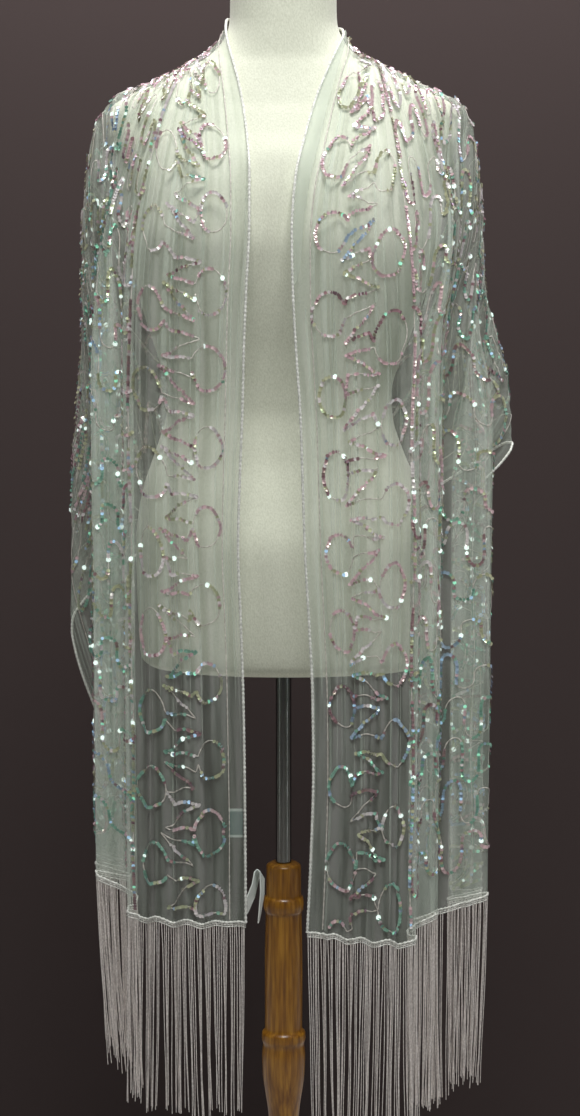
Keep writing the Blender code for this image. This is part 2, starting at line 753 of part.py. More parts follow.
def make_fringe(side, hem, collection, material):
    """A stitched heading just under the hem, with the strands drawn down from it."""
    gap = Vector((0.0, 0.0, HEADING_GAP))
    route = strand_places([point - gap for point in hem])
    mesh = bpy.data.meshes.new("fringe_" + side)
    bm = bmesh.new()
    half = HEADING_THICKNESS / 2
    columns = []
    for i, point in enumerate(route):
        ahead = route[min(i + 1, len(route) - 1)]
        before = route[max(i - 1, 0)]
        run = ahead - before
        across = Vector((run.y, -run.x, 0.0)).normalized() * half
        low = Vector((0.0, 0.0, -HEADING_HEIGHT))
        corners = (point + across, point - across, point - across + low, point + across + low)
        columns.append([bm.verts.new(corner) for corner in corners])
    roots = []
    for i, (a, b) in enumerate(zip(columns, columns[1:])):
        for k in range(4):
            face = bm.faces.new((a[k], b[k], b[(k + 1) % 4], a[(k + 1) % 4]))
            if k == 2 and i % 2 == 1:
                roots.append((i, face))
    bm.faces.new(reversed(columns[0]))
    bm.faces.new(columns[-1])
    bmesh.ops.recalc_face_normals(bm, faces=bm.faces)
    for i, face in roots:
        hang_strand(bm, face, i)
    bm.to_mesh(mesh)
    bm.free()
    return add_object("fringe_" + side, mesh, material, collection)


def hang_strand(bm, face, index):
    """Draws one strand down from its root, a little uneven in length and with a slight sway."""
    length = FRINGE_LENGTH - HEADING_HEIGHT + 0.003 * math.sin(index * 2.3)
    sway = Vector((0.0020 * math.sin(index * 0.09), 0.0010 * math.cos(index * 0.07), -length))
    grown = bmesh.ops.extrude_discrete_faces(bm, faces=[face])
    bmesh.ops.translate(bm, vec=sway, verts=grown["faces"][0].verts)


# Labels, both bare.


def at_height(line, height):
    """The point of a line of the cloth at a height."""
    for high, low in zip(line, line[1:]):
        if low.z <= height <= high.z:
            return low.lerp(high, (height - low.z) / (high.z - low.z))
    return line[-1]


def make_ribbon(name, stations, thickness, collection, material):
    """A flat ribbon through stations of (middle, width vector), made a thin wall."""
    mesh = bpy.data.meshes.new(name)
    points = []
    for middle, width in stations:
        points += [middle - width / 2, middle + width / 2]
    faces = [(2 * i, 2 * i + 1, 2 * i + 3, 2 * i + 2) for i in range(len(stations) - 1)]
    mesh.from_pydata(points, [], faces)
    mesh.update()
    obj = add_object(name, mesh, material, collection)
    wall = obj.modifiers.new("Wall", "SOLIDIFY")
    wall.thickness = thickness
    wall.offset = 0.0
    return obj


def make_care_label(inner_edge, collection, material):
    """A folded leaf sewn to the left front's inner edge: out and up to its fold, then hanging edge-on."""
    sewn = at_height(inner_edge, CARE_LABEL_HEIGHT)
    start = Vector((sewn.x + LABEL_THICKNESS / 2 + PIECE_GAP, sewn.y, CARE_LABEL_HEIGHT))
    stations = []
    for spot in CARE_LABEL:
        middle = start + Vector((spot.out, spot.behind, spot.rise))
        stations.append((middle, Vector((spot.wide_x, spot.wide_y, spot.wide_z))))
    make_ribbon("care_label", stations, LABEL_THICKNESS, collection, material)


def make_woven_label(wall, collection, material):
    """A small flat label just inside the left front, near the hem."""
    graph = bpy.context.evaluated_depsgraph_get()
    tree = BVHTree.FromObject(wall, graph)
    inside = -1.0
    for i in range(7):
        for j in range(9):
            x = WOVEN_LABEL_X + (i / 6 - 0.5) * WOVEN_LABEL_WIDTH
            z = WOVEN_LABEL_Z + (j / 8 - 0.5) * WOVEN_LABEL_LENGTH
            spot, _, _, _ = tree.ray_cast(Vector((x, -0.06, z)), Vector((0.0, -1.0, 0.0)))
            inside = max(inside, spot.y)
    y = inside + LABEL_THICKNESS / 2 + PIECE_GAP
    across = Vector((WOVEN_LABEL_WIDTH, 0.0, 0.0))
    half = Vector((0.0, 0.0, WOVEN_LABEL_LENGTH / 2))
    middle = Vector((WOVEN_LABEL_X, y, WOVEN_LABEL_Z))
    stations = [(middle + half, across), (middle - half, across)]
    make_ribbon("woven_label", stations, LABEL_THICKNESS, collection, material)


def main():
    for obj in list(bpy.data.objects):
        bpy.data.objects.remove(obj, do_unlink=True)
    collection = bpy.data.collections.new(COLLECTION)
    bpy.context.scene.collection.children.link(collection)
    materials = {name: make_material(name) for name in MATERIALS}
    form = make_form(collection, materials["jersey"])
    make_stand(collection, materials["wood"], materials["chrome"])
    tree = BVHTree.FromPolygons(
        [vertex.co.copy() for vertex in form.data.vertices],
        [tuple(polygon.vertices) for polygon in form.data.polygons],
    )
    grid, left = make_stole(tree, collection, materials["net"])
    make_fringe("left", [line[0] for line in grid], collection, materials["fringe"])
    make_fringe("right", [line[-1] for line in grid], collection, materials["fringe"])
    make_care_label(list(reversed(grid[0][: FRONT_ROWS + 1])), collection, materials["label"])
    make_woven_label(left, collection, materials["label"])


main()
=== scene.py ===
"""Scene of an evening stole of sheer net, sewn with sequins and fringed, on a limbless dress form.

Metres, +Z up. The form faces -Y, and "left" is the side at -X, as seen from the front. The cloth is the
part's own sheet, laid by the same tables and functions, on a finer grid and with its smaller creases.
"""

import math
import random
from collections import namedtuple
from functools import lru_cache

import bpy
import numpy as np
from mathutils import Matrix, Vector
from mathutils.bvhtree import BVHTree


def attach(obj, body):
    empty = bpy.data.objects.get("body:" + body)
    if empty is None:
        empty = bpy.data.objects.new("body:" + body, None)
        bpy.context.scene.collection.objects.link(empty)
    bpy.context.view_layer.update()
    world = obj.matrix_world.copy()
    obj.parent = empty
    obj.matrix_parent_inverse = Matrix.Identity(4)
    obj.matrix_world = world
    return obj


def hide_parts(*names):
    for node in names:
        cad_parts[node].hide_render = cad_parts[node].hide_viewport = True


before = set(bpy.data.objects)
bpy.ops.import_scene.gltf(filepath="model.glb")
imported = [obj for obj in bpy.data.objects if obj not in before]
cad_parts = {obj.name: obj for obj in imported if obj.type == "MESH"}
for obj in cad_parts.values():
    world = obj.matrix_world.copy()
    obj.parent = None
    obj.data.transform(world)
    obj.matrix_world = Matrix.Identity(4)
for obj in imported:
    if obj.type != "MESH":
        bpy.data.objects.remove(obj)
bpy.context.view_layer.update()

# Camera: the photograph's picture is 580 by 1116, and the form's middle plane lies 1 mm to a pixel.
CAMERA_PLACE = (0.0065, -2.35, 1.15)
CAMERA_DOWN = 7.4
CAMERA_LENS = 76.45
SENSOR = 36.0

# What all random draws start from.
SEED = 11580

# Cloth on the form.
CLOTH_OFF_FORM = 0.0022
LEAST_OFF_FORM = 0.0016
SETTLING_ROUNDS = 14

# Dress form: rings from the rounded rim to the top of the neck.
Ring = namedtuple("Ring", "height half_width front back middle")
FORM_RINGS = (
    Ring(0.7400, 0.1400, 0.0910, 0.0960, 0.004),
    Ring(0.7470, 0.1465, 0.0980, 0.1040, 0.004),
    Ring(0.8000, 0.1500, 0.1060, 0.1110, 0.004),
    Ring(0.8600, 0.1500, 0.1090, 0.1130, 0.003),
    Ring(0.9090, 0.1400, 0.0970, 0.1020, -0.001),
    Ring(0.9500, 0.1240, 0.0850, 0.0880, -0.004),
    Ring(0.9880, 0.1120, 0.0810, 0.0790, -0.004),
    Ring(1.0120, 0.1110, 0.0840, 0.0780, -0.004),
    Ring(1.0500, 0.1220, 0.0925, 0.0790, -0.003),
    Ring(1.0900, 0.1360, 0.1040, 0.0830, -0.002),
    Ring(1.1300, 0.1470, 0.1170, 0.0890, 0.0),
    Ring(1.1650, 0.1540, 0.1250, 0.0940, 0.0),
    Ring(1.2000, 0.1580, 0.1200, 0.0980, 0.0),
    Ring(1.2350, 0.1650, 0.1060, 0.0980, 0.0),
    Ring(1.2600, 0.1730, 0.0900, 0.0930, 0.0),
    Ring(1.2780, 0.1730, 0.0790, 0.0860, 0.0),
    Ring(1.2890, 0.1665, 0.0720, 0.0790, 0.0),
    Ring(1.2990, 0.1505, 0.0670, 0.0710, 0.0),
    Ring(1.3090, 0.1270, 0.0620, 0.0660, 0.0),
    Ring(1.3220, 0.1010, 0.0560, 0.0620, 0.0),
    Ring(1.3360, 0.0740, 0.0510, 0.0580, 0.0),
    Ring(1.3520, 0.0585, 0.0500, 0.0545, 0.0),
    Ring(1.3720, 0.0520, 0.0495, 0.0520, 0.0),
    Ring(1.4220, 0.0510, 0.0495, 0.0510, 0.0),
    Ring(1.4300, 0.0450, 0.0430, 0.0450, 0.0),
)
FORM_SQUARENESS = 2.2
FORM_SIDES = 36
JERSEY_SIDES = 144
BUST_HEIGHT = 1.165
BUST_HALF_REACH = 0.075
BUST_HOLLOW = 0.007
BUST_HOLLOW_WIDTH = 0.035

# Stand: the outline of the turned post and of its base, from the top down, as radius and height.
Turn = namedtuple("Turn", "radius height")
POLE_RADIUS = 0.008
PIECE_GAP = 0.0003
POST_TOP = 0.533
BASE_TOP = 0.024
POST_OUTLINE = (
    Turn(0.0135, POST_TOP),
    Turn(0.0176, POST_TOP - 0.004),
    Turn(0.0178, 0.500),
    Turn(0.0200, 0.496),
    Turn(0.0209, 0.490),
    Turn(0.0200, 0.484),
    Turn(0.0183, 0.480),
    Turn(0.0192, 0.420),
    Turn(0.0190, 0.360),
    Turn(0.0222, 0.354),
    Turn(0.0225, 0.348),
    Turn(0.0212, 0.342),
    Turn(0.0222, 0.330),
    Turn(0.0215, 0.310),
    Turn(0.0160, 0.270),
    Turn(0.0140, 0.240),
    Turn(0.0165, 0.200),
    Turn(0.0225, 0.140),
    Turn(0.0250, 0.100),
    Turn(0.0225, 0.060),
    Turn(0.0270, 0.050),
    Turn(0.0280, 0.040),
    Turn(0.0260, BASE_TOP + PIECE_GAP),
)
BASE_OUTLINE = (
    Turn(0.0300, BASE_TOP),
    Turn(0.1450, 0.0190),
    Turn(0.1620, 0.0150),
    Turn(0.1680, 0.0090),
    Turn(0.1660, 0.0),
)
TURNED_SIDES = 64
RING_STEPS = 5

# Inner edges of the two fronts: distance from the middle at each height.
Edge = namedtuple("Edge", "height left right")
INNER_EDGES = (
    Edge(0.500, 0.0355, 0.0232),
    Edge(0.600, 0.0358, 0.0276),
    Edge(0.680, 0.0366, 0.0292),
    Edge(0.770, 0.0385, 0.0262),
    Edge(0.870, 0.0424, 0.0206),
    Edge(1.000, 0.0382, 0.0158),
    Edge(1.090, 0.0358, 0.0095),
    Edge(1.160, 0.0318, 0.0074),
    Edge(1.205, 0.0308, 0.0094),
    Edge(1.242, 0.0324, 0.0172),
    Edge(1.284, 0.0379, 0.0286),
    Edge(1.322, 0.0442, 0.0433),
    Edge(1.350, 0.0515, 0.0511),
    Edge(1.378, 0.0565, 0.0565),
)

# Where each line crosses the shoulder or, from the tip on, comes round the side below it. It has settled
# into the front after falling by "settle".
Crossing = namedtuple(
    "Crossing", "share left_out left_height left_settle right_out right_height right_settle"
)
CROSSINGS = (
    Crossing(0.00, 0.0560, 1.376, 0.30, 0.0560, 1.364, 0.30),
    Crossing(0.06, 0.0610, 1.359, 0.30, 0.0610, 1.354, 0.30),
    Crossing(0.14, 0.0710, 1.347, 0.30, 0.0710, 1.343, 0.30),
    Crossing(0.26, 0.0870, 1.337, 0.30, 0.0870, 1.334, 0.30),
    Crossing(0.39, 0.1150, 1.322, 0.30, 0.1150, 1.319, 0.30),
    Crossing(0.54, 0.1630, 1.306, 0.28, 0.1625, 1.305, 0.28),
    Crossing(0.58, 0.1850, 1.296, 0.27, 0.1840, 1.296, 0.27),
    Crossing(0.62, 0.1930, 1.274, 0.26, 0.1915, 1.274, 0.26),
    Crossing(0.72, 0.1975, 1.190, 0.28, 0.1950, 1.215, 0.24),
    Crossing(0.81, 0.2035, 1.080, 0.26, 0.2045, 1.130, 0.20),
    Crossing(0.90, 0.2105, 0.950, 0.23, 0.2225, 1.050, 0.15),
    Crossing(1.00, 0.2180, 0.790, 0.19, 0.2400, 0.975, 0.10),
)

# Lines up to the round share cross the shoulder, and those past its spread come round the side. A line's
# way from its crossing to the hanging front is quick at first, and even near the shoulder's tip.
ROUND_SHARE = 0.50
ROUND_SPREAD = 0.20
EVEN_SHARE = 0.42
EVEN_SPREAD = 0.18
FALL_CURVE = 2.6
DEEPENS_BY = 0.8
FOLDS_FROM = 0.35
BACK_CURVE = 2.6
FRONT_CURVE = 1.6

# Pleats of the hanging fronts, from the front fold to the outer edge: how far out each fold reaches, how
# far it lies behind the front fold, and the height of the hem there.
Pleat = namedtuple("Pleat", "share left_reach right_reach behind left_hem right_hem")
PLEATS = (
    Pleat(0.26, 0.1500, 0.1265, 0.000, 0.504, 0.481),
    Pleat(0.30, 0.1380, 0.1170, 0.011, 0.516, 0.488),
    Pleat(0.39, 0.1850, 0.1490, 0.022, 0.537, 0.500),
    Pleat(0.46, 0.1530, 0.1300, 0.033, 0.535, 0.496),
    Pleat(0.54, 0.1870, 0.1530, 0.044, 0.541, 0.493),
    Pleat(0.62, 0.1590, 0.1480, 0.055, 0.538, 0.494),
    Pleat(0.72, 0.1870, 0.2040, 0.066, 0.543, 0.508),
    Pleat(0.81, 0.1620, 0.1660, 0.078, 0.540, 0.504),
    Pleat(0.90, 0.1890, 0.2000, 0.089, 0.544, 0.506),
    Pleat(1.00, 0.1680, 0.1700, 0.100, 0.545, 0.505),
)
PLEAT_MIDDLE = {"left": 0.170, "right": 0.163}
INNER_HEM = {"left": 0.508, "right": 0.498}
FOLD_END_SHARE = 0.009
FOLD_END_DEPTH = 0.0036
FACE_SHARE = PLEATS[0].share - FOLD_END_SHARE
PLEAT_BLEND = 0.12
INNER_BLEND = 0.05

# Front face of the hanging cloth: straight down from the bust, turning back towards the front fold.
FACE_FRONT = 0.1290
FRONT_FOLD_BEHIND = 0.0410
FACE_FLAT_OUT = 0.060
FACE_TURNED_OUT = 0.150
HANG_STARTS = 1.285
HANG_FREE = 1.130
SHOULDER_FLARE = 0.010
FLARE_STARTS = 1.05
FLARE_FULL = 1.20
RIDGE_BEHIND = 0.005
CHEST_EDGE = 0.92
CHEST_FALL = 0.08
CHEST_LOW = 1.13
CHEST_HIGH = 1.19
SIDE_BEHIND = 0.020

# The back: height of each line at the centre, and how far behind the middle it lies.
BACK_TOP = 1.368
BACK_DROP = 0.496
BackFall = namedtuple("BackFall", "share behind")
BACK_FALL = (
    BackFall(0.00, 0.0585),
    BackFall(0.08, 0.0680),
    BackFall(0.16, 0.0880),
    BackFall(0.26, 0.1030),
    BackFall(0.45, 0.1090),
    BackFall(1.00, 0.1180),
)

# Gathers: soft waves across the cloth, a whole number up to the front fold, then one for each pleat.
FRONT_WAVES = 4
Gather = namedtuple("Gather", "fallen front pleats")
GATHERS = (
    Gather(-1.00, 0.0040, 0.0060),
    Gather(-0.45, 0.0030, 0.0045),
    Gather(0.00, 0.0020, 0.0028),
    Gather(0.10, 0.0026, 0.0020),
    Gather(0.35, 0.0030, 0.0),
    Gather(1.00, 0.0034, 0.0),
)
GATHER_BLEND = 0.05
HEM_WAVE = 0.003
HEM_EASE_INNER = 0.08
HEM_EASE_OUTER = 0.10

# The coarse grid, which is that of the part's walls.
CELLS_TO_FOLD = 16
WIDE_LAYER = 0.05
FRONT_ROWS = 17
ROW_CURVE = 1.45
BACK_ROWS = 8
LINE_STEPS = 64
CORNER_REACH = 14
CORNER_ROUNDS = 14
EASE_REACH = 3
EASE_ROUNDS = 4

# Finer grid of the sheet: cells between two lines of the coarse one, on the face, across the end of a fold
# (a narrow interval) and across a layer, and steps from the centre back to a hem.
FINE_FACE = 4
FINE_FOLD = 3
FINE_LAYER = 5
MOST_FOLD_ENDS = 2.5
HALF_STEPS = 130
ROUTE_STEPS = 700
EVEN_REACH = 0.03
CLOTH_WIDTH = 0.52
CLOTH_HALF = 1.025
LEAST_NET_GAP = 0.0011
NEAR_FORM = 0.03

# Tucks of the hanging fronts, where the net lies folded on itself in a narrow line: the share it lies at,
# its depth, and the stretch it runs for as parts of the way from the centre back to the hem.
Tuck = namedtuple("Tuck", "side share depth start end")
TUCKS = (
    Tuck(-1, 0.047, 0.0017, 0.22, 1.01),
    Tuck(-1, 0.090, 0.0021, 0.30, 1.01),
    Tuck(-1, 0.123, 0.0016, 0.26, 0.80),
    Tuck(-1, 0.160, 0.0021, 0.28, 1.01),
    Tuck(-1, 0.196, 0.0019, 0.33, 1.01),
    Tuck(-1, 0.216, 0.0015, 0.40, 1.01),
    Tuck(-1, 0.234, 0.0021, 0.36, 1.01),
    Tuck(1, 0.043, 0.0018, 0.24, 1.01),
    Tuck(1, 0.082, 0.0021, 0.30, 1.01),
    Tuck(1, 0.110, 0.0015, 0.42, 0.93),
    Tuck(1, 0.140, 0.0021, 0.28, 1.01),
    Tuck(1, 0.187, 0.0021, 0.30, 1.01),
    Tuck(1, 0.213, 0.0016, 0.46, 0.97),
    Tuck(1, 0.240, 0.0020, 0.34, 1.01),
    Tuck(-1, 0.285, 0.0021, 0.20, 1.01),
    Tuck(-1, 0.362, 0.0020, 0.26, 1.01),
    Tuck(-1, 0.432, 0.0021, 0.24, 1.01),
    Tuck(-1, 0.572, 0.0020, 0.30, 1.01),
    Tuck(-1, 0.765, 0.0021, 0.36, 1.01),
    Tuck(1, 0.325, 0.0021, 0.22, 1.01),
    Tuck(1, 0.500, 0.0021, 0.26, 1.01),
    Tuck(1, 0.680, 0.0021, 0.34, 1.01),
    Tuck(1, 0.772, 0.0020, 0.38, 1.01),
    Tuck(1, 0.865, 0.0021, 0.42, 1.01),
)
TUCK_SPREAD = 0.0024
TUCK_LINES = (-2.4, -1.6, -0.8, 0.0, 0.8, 1.6, 2.4)
TUCK_DRIFT = 0.0006
TUCK_FADE = 0.12
LEAST_SPACING = 0.0008

# Soft creases all round, as ridges (+) and troughs (-): middle of the crease, half length and half width in
# parts of the cloth's half length and its width, depth, and how far it slants over its length.
Crease = namedtuple("Crease", "place half_length share half_width depth slant")
CREASES = (
    Crease(-0.86, 0.10, 0.060, 0.016, 0.0020, 0.03),
    Crease(-0.70, 0.16, 0.140, 0.020, -0.0022, -0.02),
    Crease(-0.55, 0.13, 0.205, 0.015, 0.0024, 0.03),
    Crease(-0.41, 0.12, 0.070, 0.018, 0.0020, 0.05),
    Crease(-0.34, 0.09, 0.330, 0.030, -0.0022, 0.06),
    Crease(-0.30, 0.12, 0.480, 0.034, 0.0028, 0.04),
    Crease(-0.25, 0.08, 0.660, 0.040, -0.0030, 0.05),
    Crease(-0.20, 0.14, 0.790, 0.036, 0.0034, -0.06),
    Crease(-0.16, 0.10, 0.900, 0.030, -0.0030, -0.04),
    Crease(-0.09, 0.13, 0.420, 0.026, -0.0026, 0.03),
    Crease(-0.06, 0.16, 0.620, 0.030, 0.0036, -0.04),
    Crease(0.00, 0.14, 0.280, 0.022, 0.0024, 0.00),
    Crease(0.02, 0.19, 0.745, 0.028, -0.0036, 0.03),
    Crease(0.05, 0.17, 0.860, 0.024, 0.0034, -0.03),
    Crease(0.08, 0.12, 0.510, 0.028, -0.0030, 0.05),
    Crease(0.15, 0.11, 0.690, 0.036, 0.0034, -0.05),
    Crease(0.19, 0.12, 0.340, 0.024, 0.0022, 0.04),
    Crease(0.24, 0.10, 0.830, 0.034, -0.0034, 0.06),
    Crease(0.29, 0.12, 0.570, 0.038, 0.0026, -0.05),
    Crease(0.35, 0.10, 0.120, 0.018, -0.0018, 0.04),
    Crease(0.43, 0.12, 0.210, 0.020, 0.0022, -0.04),
    Crease(0.57, 0.15, 0.095, 0.016, -0.0022, 0.02),
    Crease(0.72, 0.14, 0.170, 0.018, 0.0022, -0.03),
    Crease(0.88, 0.09, 0.110, 0.015, 0.0020, 0.02),
)
CREASE_END = 1.3

# Fine crimps that run the length of the cloth: how many across its width, how far they sway, and their
# depth, of which only a part is left near the neck.
Crimp = namedtuple("Crimp", "ridges sway depth")
CRIMPS = (Crimp(49, 1.3, 0.0007), Crimp(73, 2.1, 0.0004), Crimp(31, 0.8, 0.0007))
CRIMPS_AT_NECK = 0.35
NECK_REACH = 0.10
NECK_BLEND = 0.25
SPREAD_REACH = 0.024

# Fringe: fine strands under a narrow stitched heading, in small groups that draw together. At the outer
# ends, where they hang in several layers, some are left out and the rest lean across.
FINE_STRANDS = 200
FRINGE_LENGTH = 0.195
GROUP_SIZES = (1, 2, 3, 3, 4)
HEM_STEP = 0.0008
ROOT_GAP = 0.0005
STRAND_RADIUS = 0.00045
CLUMP = 0.0125
OUTER_STARTS = 0.152
LEAN_LEFT = 0.011
LEAN_LEFT_FROM = 0.150
LEAN_RIGHT = -0.005
LEAN_RIGHT_FROM = 0.180
LEAN_BLEND = 0.03
STRAND_SIDES = 5
STRAND_STEPS = 9
HEADING_RADIUS = 0.00065
HEADING_ROWS = (0.0022, 0.0042)

# Rolled edges, overcast with a stitch at even steps.
EDGE_RADIUS = 0.0012
EDGE_SIDES = 6
EDGE_STEP = 0.0013
EDGE_STITCH = 0.0042

# A tube's rings start square to this direction, which no route runs along.
OFF_AXIS = (0.31, 0.17, 0.94)

# Sewn pattern in cloth measures: u from the inner edge, v from the centre back, both in metres.
BORDER = 0.019
BAND_END = 0.125
PATTERN_ENDS = 0.006
CHAIN_PITCH = 0.076
LOOP_WIDE = 0.0165
LOOP_TALL = 0.0215
INNER_LOOP = BORDER + 0.020
OUTER_LOOP = BAND_END - 0.022
OUTER_LOOP_LATER = 0.038
Knot = namedtuple("Knot", "u v")
STAR_AFTER_INNER = (Knot(0.087, 0.023), Knot(0.050, 0.050), Knot(0.079, 0.046))
STAR_AFTER_OUTER = (Knot(0.055, 0.064), Knot(0.092, 0.088), Knot(0.056, 0.083))
FINGER_PITCH = 0.030
FINGER_REACH = 0.0160
FINGER_BULGE = 0.0026
FINGER_DRIFT = 0.004
FINGER_ROWS = 0.042

# Thread, and sequins in runs with short pauses. A sequin's kind is the place of its colour in the table.
THREAD_WIDTH = 0.0014
THREAD_STEP = 0.0024
THREAD_CREST = 0.0004
SEWN_LIFT = 0.0009
THREAD_LIFT = SEWN_LIFT * 0.6
SEQUIN_PITCH = 0.0026
SEQUIN_SIZE = 0.00195
SEQUIN_CUP = 0.28
SEQUIN_RUN = (6, 40)
SEQUIN_PAUSE = (1, 14)
SEQUINS_LOST = 0.03
DOT_SIZE = 0.0026
DOT_CHANCE = 0.34
# A kind's glow is painted light. Rose and pearl glow faintly, and the glint kinds and the large dots glow
# strongly, as painted glints where no lamp is.
SequinColor = namedtuple("SequinColor", "name color glow")
SEQUIN_COLORS = (
    SequinColor("rose", (0.72, 0.50, 0.54), 0.04),
    SequinColor("gold", (0.56, 0.56, 0.38), 0.0),
    SequinColor("green", (0.30, 0.52, 0.42), 0.0),
    SequinColor("blue", (0.46, 0.58, 0.76), 0.0),
    SequinColor("pearl", (0.80, 0.73, 0.74), 0.06),
    SequinColor("wine", (0.38, 0.22, 0.25), 0.0),
    SequinColor("glint_green", (0.40, 0.95, 0.68), 0.35),
    SequinColor("glint_blue", (0.50, 0.74, 1.0), 0.35),
    SequinColor("dot", (0.85, 1.0, 0.94), 0.75),
)
DOT_KIND = 8
GLINT_GLOW_KINDS = (6, 7, 8)
# Painted reflection: weights of the six plain kinds over the pale form and over the dark, as the sequins'
# colour shifts with what lies behind them.
OVER_FORM_WEIGHTS = (7, 3.5, 0.2, 0.3, 4, 1)
OVER_DARK_WEIGHTS = (1, 3, 3.5, 1.5, 1.5, 2)
# Shares of single sequins that take a glowing kind as a painted glint, over the form and over the dark.
OVER_FORM_GLINT_SHARE = 0.03
OVER_DARK_GLINT_SHARE = 0.14
SEEN_AS_FORM_ABOVE = 0.760
SEEN_AS_FORM_WITHIN = 0.150

# Pressed crinkles and the border that is turned back.
CRINKLES = 150
CRINKLE_STEP = 0.007
CRINKLE_SWAY = 0.0012
CRINKLE_WIDTHS = (0.0011, 0.0016, 0.0024, 0.0042)
CRINKLE_LIFT = 0.0003
CRINKLE_RIM = 0.0005
TURNED_STARTS = 0.100
TURNED_ENDS = 0.400
TURNED_WIDTH = 0.0135
TURNED_ROWS = 7
TURNED_COLUMNS = 60

# Room: a floor, a backdrop that is seen from the front only, and soft lights.
ROOM_REACH = 4
ROOM_HEIGHT = 4
WALL_BEHIND = 0.62
Light = namedtuple("Light", "name place target size power color")
LIGHTS = (
    Light("rear", (-0.9, 2.4, 2.3), (0, 0, 1.0), (1.0, 1.0), 14, (1.0, 0.99, 0.97)),
    Light("key", (0.12, -1.02, 2.90), (0, 0, 1.15), (0.8, 0.6), 44, (1.0, 1.0, 0.98)),
    Light("front", (0.5, -2.9, 1.9), (0, 0, 1.0), (1.2, 1.2), 2.5, (1.0, 0.99, 0.96)),
    Light("strip_left", (-1.5, -0.9, 1.0), (0, 0, 0.9), (0.10, 1.9), 1.0, (0.92, 1.0, 0.98)),
    Light("strip_right", (1.6, -1.1, 1.0), (0, 0, 0.9), (0.16, 1.9), 2.4, (0.92, 0.98, 1.0)),
    Light("wall_wash", (0, 0.30, 2.20), (0, WALL_BEHIND, 1.40), (2.0, 0.2), 24, (1.0, 0.96, 0.96)),
)


def lerp(start, end, part):
    return start + (end - start) * part


def smooth_step(part):
    part = min(max(part, 0.0), 1.0)
    return part * part * (3 - 2 * part)


@lru_cache(maxsize=None)
def column_of(table, column):
    return np.array([row[0] for row in table]), np.array([getattr(row, column) for row in table])


def read(table, column, key):
    """A column of a table at a key of its first column, on a curve that never overshoots its rows."""
    keys, values = column_of(table, column)
    return float(smooth_columns(keys, values, [key])[0])


def read_straight(knots, key):
    """The value at a key on straight runs between (key, value) knots."""
    if key <= knots[0][0]:
        return knots[0][1]
    for (k0, v0), (k1, v1) in zip(knots, knots[1:]):
        if key <= k1:
            return lerp(v0, v1, (key - k0) / (k1 - k0))
    return knots[-1][1]


def form_point(ring, angle):
    """A point of one ring: flattened sides, its own depth in front and behind, a hollow at the bust."""
    across = math.cos(angle)
    along = math.sin(angle)
    power = 2 / FORM_SQUARENESS
    x = ring.half_width * math.copysign(abs(across) ** power, across)
    depth = ring.back if along > 0 else ring.front
    y = depth * math.copysign(abs(along) ** power, along)
    if along < 0:
        near_bust = 1 - abs(ring.height - BUST_HEIGHT) / BUST_HALF_REACH
        hollow = BUST_HOLLOW * smooth_step(near_bust) * math.exp(-((x / BUST_HOLLOW_WIDTH) ** 2))
        y += hollow * abs(along)
    return Vector((x + ring.middle, y, ring.height))


def form_rings(sides):
    """The form's rings as an array of points, from the rounded rim up to the top of the neck."""
    angles = [2 * math.pi * i / sides for i in range(sides)]
    return np.array([[tuple(form_point(ring, angle)) for angle in angles] for ring in FORM_RINGS])


def form_tree():
    """The form's surface, for finding the place on it that is nearest to a point."""
    rings = form_rings(FORM_SIDES)
    points = rings.reshape(-1, 3).tolist()
    low = tuple(reversed(range(FORM_SIDES)))
    high = tuple(range(len(points) - FORM_SIDES, len(points)))
    return BVHTree.FromPolygons(points, [low, *tube_faces(len(rings), FORM_SIDES).tolist(), high])


# Stole: one line of constant share.


def form_depth(out, height, face):
    """How far in front of the middle, or behind it, the cloth clears the form's surface."""
    half_width = read(FORM_RINGS, "half_width", height) + CLOTH_OFF_FORM
    depth = read(FORM_RINGS, face, height) + CLOTH_OFF_FORM
    ratio = min(abs(out) / half_width, 1.0)
    return depth * (1 - ratio**FORM_SQUARENESS) ** (1 / FORM_SQUARENESS)


def pleat_knots(column, step):
    """Knots across the pleats: each fold is a short end, a step deep, between two straight layers."""
    knots = []
    for pleat in PLEATS[:-1]:
        value = getattr(pleat, column)
        knots.append((pleat.share - FOLD_END_SHARE, value - step))
        knots.append((pleat.share + FOLD_END_SHARE, value + step))
    knots.append((PLEATS[-1].share, getattr(PLEATS[-1], column)))
    return knots


def face_behind(out):
    """How far behind its foremost plane the hanging front face lies."""
    turned = max(out - FACE_FLAT_OUT, 0.0) / (FACE_TURNED_OUT - FACE_FLAT_OUT)
    return FRONT_FOLD_BEHIND * turned**2


def round_part(share):
    """0 for a line that crosses the shoulder, 1 for one that comes round the side below it."""
    return smooth_step((share - ROUND_SHARE) / ROUND_SPREAD)


